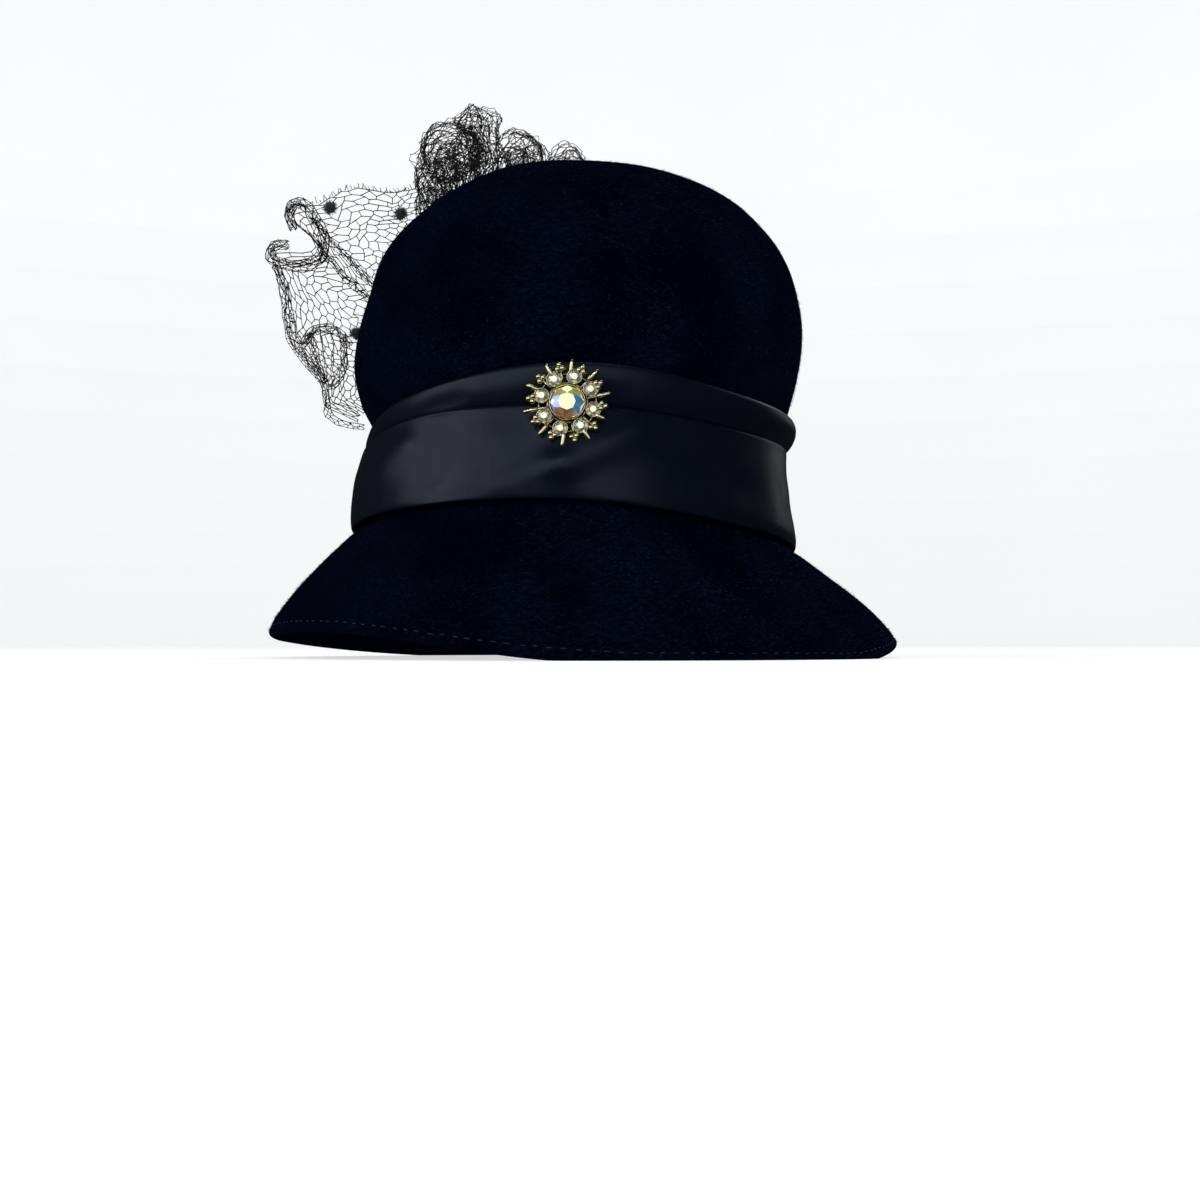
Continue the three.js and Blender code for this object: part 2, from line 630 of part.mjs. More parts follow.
// A pierced sheet with real thickness: a grid of cells with a gap through each. The surface is read by two
// shares, along and out. NET_STRAND is the share of each cell that stays solid round its gap.
function piercedSheet(surface, alongCount, outCount) {
  const positions = [];
  const index = [];
  const known = new Map();
  const vertex = ([a, b], side) => {
    const key = [a.toFixed(6), b.toFixed(6), side].join(" ");
    if (!known.has(key)) {
      const point = surface(a, b).addScaledVector(throughSheet(surface, a, b), (side * NET_THICKNESS) / 2);
      known.set(key, positions.length / 3);
      positions.push(point.x, point.y, point.z);
    }
    return known.get(key);
  };
  const quad = (p, q, r, s) => index.push(p, q, r, p, r, s);
  for (let i = 0; i < alongCount; i++) {
    for (let j = 0; j < outCount; j++) {
      const cell = (a, b) => [(i + a) / alongCount, (j + b) / outCount];
      const near = NET_STRAND / 2;
      const far = 1 - near;
      const rim = [cell(0, 0), cell(1, 0), cell(1, 1), cell(0, 1)];
      const hole = [cell(near, near), cell(far, near), cell(far, far), cell(near, far)];
      const open = [j === 0, i === alongCount - 1, j === outCount - 1, i === 0];
      for (let k = 0; k < 4; k++) {
        const [r, s, t, u] = [rim[k], rim[(k + 1) % 4], hole[(k + 1) % 4], hole[k]];
        quad(vertex(r, 1), vertex(s, 1), vertex(t, 1), vertex(u, 1));
        quad(vertex(s, -1), vertex(r, -1), vertex(u, -1), vertex(t, -1));
        quad(vertex(u, 1), vertex(t, 1), vertex(t, -1), vertex(u, -1));
        if (open[k]) quad(vertex(s, 1), vertex(r, 1), vertex(r, -1), vertex(s, -1));
      }
    }
  }
  return facingOut(positions, index);
}

// A place given by shares of the crown's half width, half length and height above the headline.
function byCrown(side, back, high) {
  const height = BRIM_DROP + CROWN_HEIGHT * high;
  return new THREE.Vector3(CROWN_HALF_WIDTH * side, CROWN_HALF_LENGTH * back, height);
}

// The fan of veiling: gathered along a seam up the crown's back left, and pleated towards its free edge.
function fanPoint(along, out) {
  const rootHeight = byCrown(0, 0, lerp(FAN_ROOT_HIGH, FAN_ROOT_LOW, clamp(along, 0, 1))).z;
  const root = besideCrown(radians(FAN_ROOT_TURN), rootHeight, NET_CLEARANCE + NET_THICKNESS / 2);
  const row = along * (FAN_EDGE.length - 1);
  const edge = byCrown(...["side", "back", "high"].map((column) => readRow(FAN_EDGE, column, row)));
  const point = root.lerp(edge, out);
  point.x -= FAN_BOW * Math.sin(Math.PI * clamp(out, 0, 1));
  point.y += FAN_PLEAT_DEPTH * out * Math.sin(2 * Math.PI * FAN_PLEATS * along);
  return point;
}

// The height of the crown's outer face over a place in plan.
function crownTopAt(x, y) {
  const turn = Math.atan2(y / CROWN_HALF_LENGTH, x / CROWN_HALF_WIDTH);
  let low = 0;
  let high = CROWN_PROFILE.length - 1;
  for (let step = 0; step < 24; step++) {
    const middle = (low + high) / 2;
    const point = crownPoint(turn, middle);
    if (Math.hypot(point.x, point.y) > Math.hypot(x, y)) low = middle;
    else high = middle;
  }
  return crownPoint(turn, (low + high) / 2).z;
}

// The ruffle of veiling: one strip that loops up and down across the crown's back, smaller towards the
// back. It lies on the crown where its loops meet.
function rufflePoint(along, across) {
  const y = CROWN_HALF_LENGTH * lerp(RUFFLE_FRONT, RUFFLE_BACK, across);
  const seat = (x) => crownTopAt(x, y) + NET_THICKNESS / 2 + 2 * GAP;
  const keys = RUFFLE_LOOPS.flatMap((loop) => {
    const foot = (side) => {
      const x = CROWN_HALF_WIDTH * (loop.foot + side * loop.spread);
      return { x, z: seat(x) };
    };
    const centre = byCrown(loop.side, 0, loop.high);
    const settle = crownTopAt(0, y) - CROWN_TIP;
    const radius = CROWN_HALF_WIDTH * loop.round * lerp(1.05, 0.8, across);
    const ring = [215, 165, 115, 65, 15, -35].map((angle) => ({
      x: centre.x + radius * Math.cos(radians(angle)),
      z: centre.z + settle + radius * Math.sin(radians(angle)),
    }));
    return [foot(-1), ...ring, foot(1)];
  });
  const row = along * (keys.length - 1);
  const x = readRow(keys, "x", row);
  return new THREE.Vector3(x, y, Math.max(readRow(keys, "z", row), seat(x)));
}

// Chenille dots, each lying on the fan's front face
function makeDots() {
  return DOTS.map((dot, i) => {
    const mesh = named("veil_dot_" + (i + 1), new THREE.OctahedronGeometry(DOT_RADIUS, 1), net);
    const away = throughSheet(fanPoint, dot.along, dot.out);
    away.multiplyScalar(-Math.sign(away.y) * (DOT_RADIUS + NET_THICKNESS / 2 + 2 * GAP));
    mesh.position.copy(fanPoint(dot.along, dot.out)).add(away);
    return mesh;
  });
}

const hat = new THREE.Group();
hat.add(crown, brim, band, brooch);
hat.add(named("veil_fan", piercedSheet(fanPoint, FAN_GAPS_ALONG, FAN_GAPS_OUT), net));
hat.add(named("veil_ruffle", piercedSheet(rufflePoint, RUFFLE_GAPS_ALONG, RUFFLE_GAPS_ACROSS), net));
hat.add(...makeDots());

// The origin is on the floor, under the middle of the hat's whole outline
const outline = new THREE.Box3().setFromObject(hat);
const middle = outline.getCenter(new THREE.Vector3());
hat.position.set(-middle.x, -middle.y, -outline.min.z);

const cloche = new THREE.Group();
cloche.add(hat);

export default cloche;
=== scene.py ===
"""The looks of a velour felt cloche hat with a draped satin band, a starburst brooch and dotted veiling.

Shapes are worked out in millimetres with numpy and put into meshes in metres. Turns are measured from +X
towards the back of the hat: 0 right, 90 back, 180 left, 270 front. Formulas and tables have the crown's
middle at x = 0, y = 0, and HAT_SHIFT brings what they make to the CAD's origin.
"""

import math

import bpy
import numpy as np
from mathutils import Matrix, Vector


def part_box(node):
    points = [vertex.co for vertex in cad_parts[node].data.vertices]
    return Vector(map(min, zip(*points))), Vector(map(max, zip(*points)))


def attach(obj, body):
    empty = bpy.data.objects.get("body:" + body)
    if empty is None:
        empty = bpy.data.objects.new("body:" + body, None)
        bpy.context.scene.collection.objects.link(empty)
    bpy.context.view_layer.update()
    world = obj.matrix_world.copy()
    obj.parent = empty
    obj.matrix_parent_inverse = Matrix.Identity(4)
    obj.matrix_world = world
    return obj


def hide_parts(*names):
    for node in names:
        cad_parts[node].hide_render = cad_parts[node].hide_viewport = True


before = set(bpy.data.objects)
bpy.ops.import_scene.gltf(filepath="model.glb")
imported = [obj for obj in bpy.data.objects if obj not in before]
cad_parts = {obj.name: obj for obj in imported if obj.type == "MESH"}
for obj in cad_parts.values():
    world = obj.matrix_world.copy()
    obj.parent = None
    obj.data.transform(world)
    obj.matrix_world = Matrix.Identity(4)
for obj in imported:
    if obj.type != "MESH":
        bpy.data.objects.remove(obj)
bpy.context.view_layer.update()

TAU = 2 * math.pi
MM = 0.001
HAT_SHIFT = np.array([-2.0, 0.0, 0.0])

# The felt body
CROWN_HALF_WIDTH = 86.0
CROWN_HALF_LENGTH = 101.0
CROWN_HEIGHT = 138.0
CROWN_FELT = 2.4
CROWN_SEAM_RISE = 4.0
BRIM_DROP = 47.0
BRIM_HALF_WIDTH = 121.0
BRIM_HALF_LENGTH = 130.0
BRIM_SHIFT = 2.0
BRIM_RISE = 8.5
BRIM_FELT = 2.6
HEM_THICKNESS = 4.2
COLLAR_HEIGHT = 9.0
BRIM_SEAT_GAP = 0.3
CROWN_TIP = BRIM_DROP + CROWN_HEIGHT

# The band
BAND_WIDTH = 45.0
BAND_LIFT = 3.4
BAND_FOOT_CLEARANCE = 0.9
BAND_COLUMNS = 360
SEAT_GAP = 0.6

# The veiling
NET_THICKNESS = 1.2
NET_CLEARANCE = 0.8
FAN_ROOT_TURN = 138.0
FAN_ROOT_LOW = 0.47
FAN_ROOT_HIGH = 0.87
FAN_BOW = 9.0
FAN_PLEATS = 6
FAN_PLEAT_DEPTH = 4.0
RUFFLE_FRONT = 0.1
RUFFLE_BACK = 0.37
STRIP_CLEARANCE = 1.2
# The threads' and knots' radii: rolled and drawn together, in the fan and its cut ends, and in the ruffle
STRAND_RADIUS = 0.16
STRAND_KNOT = 0.29
FAN_STRAND = 0.19
FAN_KNOT = 0.35
CUT_STRAND = 0.17
STRIP_STRAND = 0.15
STRIP_KNOT = 0.27
POUF_KNOT = 0.28
# The steps of a bundle's threads along it, and the cells of a roll of net
BUNDLE_STEP = 1.6
ROLL_CELL = 2.0


def table(columns, *rows):
    """A table's columns as arrays, by name."""
    return dict(zip(columns.split(), np.array(rows, float).T))


# The crown at each share of its height, as shares of its half width and half length
CROWN_PROFILE = table(
    "up left right front back",
    (0.0, 0.975, 0.935, 0.985, 0.985),
    (0.12, 0.955, 0.905, 0.968, 0.97),
    (0.24, 0.915, 0.895, 0.955, 0.955),
    (0.35, 0.985, 0.955, 0.985, 0.98),
    (0.45, 1.012, 0.997, 1.0, 0.99),
    (0.55, 0.99, 1.019, 1.0, 0.985),
    (0.65, 0.94, 1.006, 0.975, 0.965),
    (0.75, 0.892, 0.954, 0.925, 0.92),
    (0.83, 0.825, 0.873, 0.85, 0.85),
    (0.9, 0.718, 0.757, 0.745, 0.75),
    (0.955, 0.55, 0.59, 0.59, 0.6),
    (0.988, 0.32, 0.34, 0.35, 0.35),
    (1.0, 0.0, 0.0, 0.0, 0.0),
)
# Each dent's turn and share of the height, and its depth and width as shares of the half width
CROWN_DENTS = ((200, 0.915, 0.055, 0.2), (196, 0.79, -0.02, 0.18), (250, 0.62, 0.014, 0.3))
# The brim's curve from the crown's foot to the rim, as shares of the way out and down
BRIM_PROFILE = table(
    "out down",
    (0.0, 0.0),
    (0.16, 0.1),
    (0.34, 0.25),
    (0.51, 0.4),
    (0.67, 0.55),
    (0.82, 0.72),
    (0.94, 0.88),
    (1.0, 1.0),
)
# Eight stations round the hat, every 45 degrees: the headline's height as a share of BRIM_DROP, the rim's
# of BRIM_RISE, the band's fold and top as shares of BAND_WIDTH, and its fullness as one of BAND_LIFT
STATIONS = table(
    "foot rise fold top puff",
    (0.86, 0.8, 0.84, 1.08, 0.75),
    (0.88, 0.1, 0.76, 1.02, 0.5),
    (0.92, -0.2, 0.71, 0.98, 0.3),
    (0.96, 0.3, 0.67, 0.85, 0.3),
    (1.01, 1.0, 0.63, 0.76, 0.1),
    (1.1, 1.3, 0.7, 0.88, 0.25),
    (1.12, 0.12, 0.7, 1.01, 0.3),
    (0.97, -0.1, 0.75, 1.02, 0.45),
)
# The fan's free edge from its upper end, as shares of the half width, half length and height of the crown
FAN_EDGE = table(
    "side back high",
    (-0.86, 0.26, 1.05),
    (-0.99, 0.08, 1.02),
    (-1.15, -0.05, 0.97),
    (-1.29, -0.15, 0.91),
    (-1.22, 0.0, 0.84),
    (-1.36, -0.15, 0.78),
    (-1.35, -0.02, 0.71),
    (-1.32, -0.08, 0.59),
    (-1.28, 0.02, 0.53),
    (-1.19, -0.02, 0.46),
    (-1.18, 0.06, 0.39),
    (-1.04, 0.12, 0.35),
)
# Each loop of the ruffle: the middle and half width of its foot, and its head's place, height and radius
RUFFLE_LOOPS = (
    (-0.66, 0.085, -0.625, 1.09, 0.157),
    (-0.43, 0.047, -0.46, 1.22, 0.085),
    (-0.24, 0.08, -0.24, 1.115, 0.105),
    (-0.04, 0.062, -0.04, 1.095, 0.07),
)


def cubic(a, b, c, d, f):
    """The smooth curve through b and c that heads along a to c at b, and along b to d at c."""
    return b + 0.5 * f * (c - a + f * (2 * a - 5 * b + 4 * c - d + f * (3 * (b - c) + d - a)))


def read_row(values, row):
    """A table's column read smoothly at row numbers that may lie between rows."""
    last = len(values) - 1
    row = np.asarray(row, float)
    i = np.clip(np.floor(row).astype(int), 0, last - 1)
    a, b, c, d = (values[np.clip(i + k, 0, last)] for k in (-1, 0, 1, 2))
    return cubic(a, b, c, d, row - i)


def read_around(values, turn):
    """A column that goes all the way round the hat, at turns in radians."""
    count = len(values)
    row = (np.asarray(turn, float) / TAU) % 1.0 * count
    i = np.floor(row).astype(int)
    a, b, c, d = (values[(i + k) % count] for k in (-1, 0, 1, 2))
    return cubic(a, b, c, d, row - i)


LAST_ROW = len(CROWN_PROFILE["up"]) - 1.0


def mix(a, b, share):
    """The value at a share of the way from a to b."""
    return a + (b - a) * share


def smoothstep(value, low, high):
    """A rise from 0 to 1 between two values, level at both ends."""
    share = np.clip((value - low) / (high - low), 0, 1)
    return share * share * (3 - 2 * share)


def unit(vectors):
    """Vectors brought to a length of 1."""
    return vectors / np.maximum(np.linalg.norm(vectors, axis=-1, keepdims=True), 1e-12)


def headline(turn):
    """The height of the line where the brim leaves the crown."""
    return BRIM_DROP * read_around(STATIONS["foot"], turn)


def plain_crown(turn, row):
    """An upright ellipse at each height, with its own half widths to the left, right, front and back."""
    turn, row = np.broadcast_arrays(np.asarray(turn, float), np.asarray(row, float))
    side = np.where(
        np.cos(turn) < 0, read_row(CROWN_PROFILE["left"], row), read_row(CROWN_PROFILE["right"], row)
    )
    end = np.where(
        np.sin(turn) < 0, read_row(CROWN_PROFILE["front"], row), read_row(CROWN_PROFILE["back"], row)
    )
    foot = headline(turn) + CROWN_SEAM_RISE
    height = mix(foot, CROWN_TIP, read_row(CROWN_PROFILE["up"], row))
    wide = CROWN_HALF_WIDTH * np.maximum(side, 0)
    long = CROWN_HALF_LENGTH * np.maximum(end, 0)
    return np.stack([wide * np.cos(turn), long * np.sin(turn), height], -1)


def halve(short, start, steps):
    """The crown's row where short(row) turns false, found by halving the rows from start to the tip."""
    low, high = start, start + LAST_ROW
    for _ in range(steps):
        middle = (low + high) / 2
        below = short(middle)
        low, high = np.where(below, middle, low), np.where(below, high, middle)
    return (low + high) / 2


def dent_centre(turn, up):
    """The place on the plain crown at a turn in degrees and a share of its height."""
    row = halve(lambda row: read_row(CROWN_PROFILE["up"], row) < up, 0.0, 30)
    return plain_crown(math.radians(turn), row)


DENT_CENTRES = [dent_centre(turn, up) for turn, up, _, _ in CROWN_DENTS]


def crown_point(turn, row):
    """The plain crown with each dent pressed towards the crown's middle by a bell curve of distance."""
    point = plain_crown(turn, row)
    inward = unit(np.array([0, 0, mix(BRIM_DROP, CROWN_TIP, 0.5)]) - point)
    for (_, _, deep, wide), centre in zip(CROWN_DENTS, DENT_CENTRES):
        far = ((point - centre) ** 2).sum(-1, keepdims=True)
        fade = np.exp(-far / (2 * (wide * CROWN_HALF_WIDTH) ** 2))
        point = point + inward * deep * CROWN_HALF_WIDTH * fade
    return point


def level_outward(turn, half_width, half_length):
    """The level direction out of an ellipse at a turn."""
    turn = np.asarray(turn, float)
    return unit(np.stack([np.cos(turn) / half_width, np.sin(turn) / half_length, 0 * turn], -1))


def beside_crown(turn, height, distance):
    """The crown's outer face at a height, moved level outwards by a distance."""
    turn, height, distance = np.broadcast_arrays(*(np.asarray(v, float) for v in (turn, height, distance)))
    row = halve(lambda row: crown_point(turn, row)[..., 2] < height, np.zeros_like(height), 26)
    point = crown_point(turn, row)
    point[..., 2] = height
    return point + level_outward(turn, CROWN_HALF_WIDTH, CROWN_HALF_LENGTH) * distance[..., None]


def rim_rise(turn):
    """The height of the rim above the floor."""
    return BRIM_RISE * np.maximum(0, read_around(STATIONS["rise"], turn))


def brim_point(turn, share):
    """A curve from the crown's foot out and down to the rim, the same curve at every turn."""
    turn, share = np.broadcast_arrays(np.asarray(turn, float), np.asarray(share, float))
    row = share * (len(BRIM_PROFILE["out"]) - 1)
    out = read_row(BRIM_PROFILE["out"], row)
    down = read_row(BRIM_PROFILE["down"], row)
    start = crown_point(turn, 0 * turn)
    x = mix(start[..., 0], BRIM_SHIFT + BRIM_HALF_WIDTH * np.cos(turn), out)
    y = mix(start[..., 1], BRIM_HALF_LENGTH * np.sin(turn), out)
    return np.stack([x, y, mix(headline(turn), rim_rise(turn), down)], -1)


def across(surface, a, b, step_a, step_b):
    """The direction through a surface of two parameters, from its two slopes."""
    along_a = surface(a + step_a, b) - surface(a - step_a, b)
    along_b = surface(a, b + step_b) - surface(a, b - step_b)
    return unit(np.cross(along_a, along_b))


def noise_field(points, wave, seed, octaves=2):
    """Soft random heights, mostly from -1 to 1: in each octave the sum of seven sine waves in random
    directions, wave millimetres long in the first octave, and half as long and high in each next one."""
    random = np.random.default_rng(seed)
    total = np.zeros(points.shape[:-1])
    for octave in range(octaves):
        half = 0.5**octave
        for _ in range(7):
            direction = random.normal(size=3)
            direction *= TAU / (wave * half) / np.linalg.norm(direction)
            total += half * np.sin(points @ direction + random.uniform(0, TAU))
    return total / 4


def circle(sides, shift=0.0):
    """A level circle of radius 1, as points at even angles from a shift, which is a share of one step."""
    angles = (np.arange(sides) + shift) * TAU / sides
    return np.stack([np.cos(angles), np.sin(angles), 0 * angles], -1)


def globe(lifts, sides):
    """Level rings of a ball of radius 1, at lifts in degrees above its equator."""
    return np.array([circle(sides) * math.cos(a) + [0, 0, math.sin(a)] for a in np.radians(lifts)])


class Shape:
    """Points and faces gathered from several closed surfaces into one mesh."""

    def __init__(self):
        self.points, self.faces, self.marks, self.count = [], [], [], 0

    def add(self, points, faces, mark=0.0):
        """Adds one closed surface, its faces turned outwards, and a mark for its points."""
        points = np.asarray(points, float).reshape(-1, 3)
        turned = [f[:, ::-1] for f in faces] if volume(points, faces) < 0 else faces
        self.points.append(points)
        self.faces += [f + self.count for f in turned]
        self.marks.append(np.broadcast_to(np.asarray(mark, float).ravel(), len(points)))
        self.count += len(points)

    def move(self, origin, axes):
        """Turns the points into axes, whose rows are the three directions, and puts them at an origin."""
        self.points = [origin + p @ axes for p in self.points]


def volume(points, faces):
    """Six times the volume inside closed faces, which is below zero when they point inwards."""
    total = 0.0
    for f in faces:
        for k in range(1, f.shape[1] - 1):
            corners = points[f[:, 0]], points[f[:, k]], points[f[:, k + 1]]
            total += np.einsum("ij,ij->i", corners[0], np.cross(corners[1], corners[2])).sum()
    return total


def ring_faces(rings, columns, closed):
    """Four-sided faces that join rings of points, each ring closed on itself."""
    r, c = np.meshgrid(np.arange(rings if closed else rings - 1), np.arange(columns), indexing="ij")
    r, c = r.ravel(), c.ravel()
    up, on = (r + 1) % rings, (c + 1) % columns
    return np.stack([r * columns + c, r * columns + on, up * columns + on, up * columns + c], -1)


def closed_skin(rings, tips=None):
    """Rings of points as a closed surface. The last ring joins the first, or each end closes on a tip."""
    count, columns = rings.shape[:2]
    points = rings.reshape(-1, 3)
    faces = [ring_faces(count, columns, tips is None)]
    if tips is not None:
        points = np.concatenate([points, np.asarray(tips, float)])
        c = np.arange(columns)
        on, first, last, end = (c + 1) % columns, len(points) - 2, len(points) - 1, (count - 1) * columns
        faces.append(np.stack([np.full(columns, first), on, c], -1))
        faces.append(np.stack([np.full(columns, last), end + c, end + on], -1))
    return points, faces


def piece(name, shape, finish, nodes=(), smooth=True, mark=None, domain="POINT"):
    """A Blender mesh from a shape, in metres, that rides with the hat and stands for CAD nodes."""
    points = np.concatenate(shape.points) * MM
    mesh = bpy.data.meshes.new(name)
    sizes = np.concatenate([np.full(len(f), f.shape[1]) for f in shape.faces])
    corners = np.concatenate([f.ravel() for f in shape.faces])
    mesh.vertices.add(len(points))
    mesh.vertices.foreach_set("co", points.astype(np.float32).ravel())
    mesh.loops.add(len(corners))
    mesh.loops.foreach_set("vertex_index", corners.astype(np.int32))
    mesh.polygons.add(len(sizes))
    mesh.polygons.foreach_set("loop_start", (np.cumsum(sizes) - sizes).astype(np.int32))
    mesh.polygons.foreach_set("loop_total", sizes.astype(np.int32))
    mesh.update(calc_edges=True)
    mesh.polygons.foreach_set("use_smooth", np.full(len(sizes), smooth))
    if mark:
        values = np.concatenate(shape.marks).astype(np.float32)
        mesh.attributes.new(mark, "FLOAT", domain).data.foreach_set("value", values)
    mesh.materials.append(finish)
    made = bpy.data.objects.new(name, mesh)
    bpy.context.scene.collection.objects.link(made)
    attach(made, "root")
    if nodes:
        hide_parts(*nodes)
    return made


# Finishes


def linear(code):
    """An sRGB hex colour as linear red, green, blue and alpha."""
    srgb = np.array([int(code[k : k + 2], 16) for k in (1, 3, 5)]) / 255
    values = np.where(srgb <= 0.04045, srgb / 12.92, ((srgb + 0.055) / 1.055) ** 2.4)
    return (*values.tolist(), 1.0)


def add(tree, kind, links=None, **settings):
    """Adds a node, with its settings, and with each input set to a value or linked to a socket. A node
    given as a value stands for its first output."""
    made = tree.nodes.new(kind)
    for name, value in settings.items():
        setattr(made, name, value)
    for name, value in (links or {}).items():
        socket = made.inputs[name]
        if isinstance(value, bpy.types.Node):
            value = value.outputs[0]
        if isinstance(value, bpy.types.NodeSocket):
            tree.links.new(value, socket)
        else:
            socket.default_value = value
    return made


def finish(name):
    """A new material and its node tree, emptied."""
    made = bpy.data.materials.new(name)
    made.use_nodes = True
    made.node_tree.nodes.clear()
    return made, made.node_tree


def shade(tree, **sockets):
    """The surface shader and the output, with the shader's sockets set by name."""
    named = {key.replace("_", " "): value for key, value in sockets.items()}
    shader = add(tree, "ShaderNodeBsdfPrincipled", named)
    add(tree, "ShaderNodeOutputMaterial", {"Surface": shader})


def felt_finish():
    """Navy-black velour: fur felt brushed to a short nap. Patches of nap lie lighter or darker, and its
    tufts and hairs are tipped lighter, all painted sheen, with fine streaks along the brushing and a soft
    glow where it is seen edge on."""
    made, tree = finish("fur_felt_velour")
    where = add(tree, "ShaderNodeTexCoord").outputs["Object"]
    # The brushed patches are about 30 mm across, the nap's tufts 0.9 mm wide and 2.5 mm long
    patches = add(tree, "ShaderNodeTexNoise", {"Vector": where, "Scale": 1 / 0.030, "Detail": 4.0})
    brushed = add(
        tree,
        "ShaderNodeMapping",
        {"Vector": where, "Rotation": (0.3, 0.75, 0.2), "Scale": (1 / 0.0026, 1 / 0.0009, 1 / 0.0009)},
    )
    tufts = add(
        tree,
        "ShaderNodeTexNoise",
        {"Vector": brushed, "Scale": 1.0, "Detail": 3.0, "Roughness": 0.65, "Distortion": 0.6},
    )
    hairs = add(tree, "ShaderNodeTexNoise", {"Vector": where, "Scale": 1 / 0.0005, "Detail": 2.0})
    # Painted sheen: the lighter patches and tuft tips, at random places, stand in for light caught by the
    # nap
    sheen_patch = add(tree, "ShaderNodeMapRange", {"Value": patches, "From Min": 0.38, "From Max": 0.66})
    light = add(tree, "ShaderNodeMapRange", {"Value": tufts, "From Min": 0.46, "From Max": 0.72})
    ground = add(
        tree, "ShaderNodeMix", {0: sheen_patch, 6: linear("#000208"), 7: linear("#01040e")}, data_type="RGBA"
    )
    upright = add(tree, "ShaderNodeMath", {0: sheen_patch, 1: 0.75, 2: 0.25}, operation="MULTIPLY_ADD")
    caught = add(tree, "ShaderNodeMath", {0: light, 1: upright}, operation="MULTIPLY")
    sheen_tipped = add(
        tree, "ShaderNodeMix", {0: caught, 6: ground.outputs[2], 7: linear("#081024")}, data_type="RGBA"
    )
    # Each hair's mark sets how much painted sheen lightens it
    hair_sheen = add(tree, "ShaderNodeAttribute", attribute_name="nap").outputs["Fac"]
    nap_with_sheen = add(
        tree, "ShaderNodeMix", {0: hair_sheen, 6: sheen_tipped.outputs[2], 7: linear("#2c3a55")}, data_type="RGBA"
    )
    rough = add(tree, "ShaderNodeMath", {0: tufts, 1: hairs}, operation="ADD")
    bump = add(tree, "ShaderNodeBump", {"Height": rough, "Strength": 0.9, "Distance": 0.0006})
    shade(
        tree,
        Base_Color=nap_with_sheen.outputs[2],
        Roughness=0.95,
        Specular_IOR_Level=0.0,
        Sheen_Weight=0.008,
        Sheen_Roughness=0.42,
        Sheen_Tint=linear("#5f80bd"),
        Normal=bump,
    )
    return made


def satin_finish():
    """Navy-black satin: long warp floats over a fine weave, with a broad soft shine and dark folds."""
    made, tree = finish("silk_satin")
    where = add(tree, "ShaderNodeTexCoord").outputs["Object"]
    # The weave is 0.15 mm and too fine to show, so it is drawn at 0.5 mm
    grain = add(tree, "ShaderNodeTexNoise", {"Vector": where, "Scale": 1 / 0.0005, "Detail": 2.0})
    slub = add(tree, "ShaderNodeTexNoise", {"Vector": where, "Scale": 1 / 0.012, "Detail": 3.0})
    tone = add(
        tree, "ShaderNodeMix", {0: grain, 6: linear("#01050d"), 7: linear("#040b18")}, data_type="RGBA"
    )
    gloss = add(
        tree,
        "ShaderNodeMapRange",
        {"Value": slub, "From Min": 0.3, "From Max": 0.7, "To Min": 0.3, "To Max": 0.4},
    )
    bump = add(tree, "ShaderNodeBump", {"Height": grain, "Strength": 0.45, "Distance": 0.0001})
    shade(
        tree,
        Base_Color=tone.outputs[2],
        Roughness=gloss,
        Specular_IOR_Level=0.3,
        Specular_Tint=linear("#bccbe8"),
        Normal=bump,
    )
    return made


def gilt_finish():
    """Antiqued gilt brass, cast and burnished by hand: light on what stands up, brown-black in the
    recesses, partly dark patina and partly painted shade.
    """
    made, tree = finish("antiqued_gilt_brass")
    where = add(tree, "ShaderNodeTexCoord").outputs["Object"]
    high = add(tree, "ShaderNodeAttribute", attribute_name="height").outputs["Fac"]
    pits = add(tree, "ShaderNodeTexNoise", {"Vector": where, "Scale": 1 / 0.0011, "Detail": 3.0})
    pits_and_shade = add(tree, "ShaderNodeMath", {0: pits, 1: 0.5, 2: high}, operation="MULTIPLY_ADD")
    wear_and_shade = add(tree, "ShaderNodeMapRange", {"Value": pits_and_shade, "From Min": 0.5, "From Max": 0.95})
    # The recesses and low parts go brown-black: partly dark patina, partly painted shade
    colour = add(
        tree, "ShaderNodeMix", {0: wear_and_shade, 6: linear("#0c0a07"), 7: linear("#d9cfa4")}, data_type="RGBA"
    )
    bump = add(tree, "ShaderNodeBump", {"Height": pits, "Strength": 0.35, "Distance": 0.00012})
    shade(tree, Base_Color=colour.outputs[2], Metallic=1.0, Roughness=0.2, Normal=bump)
    return made


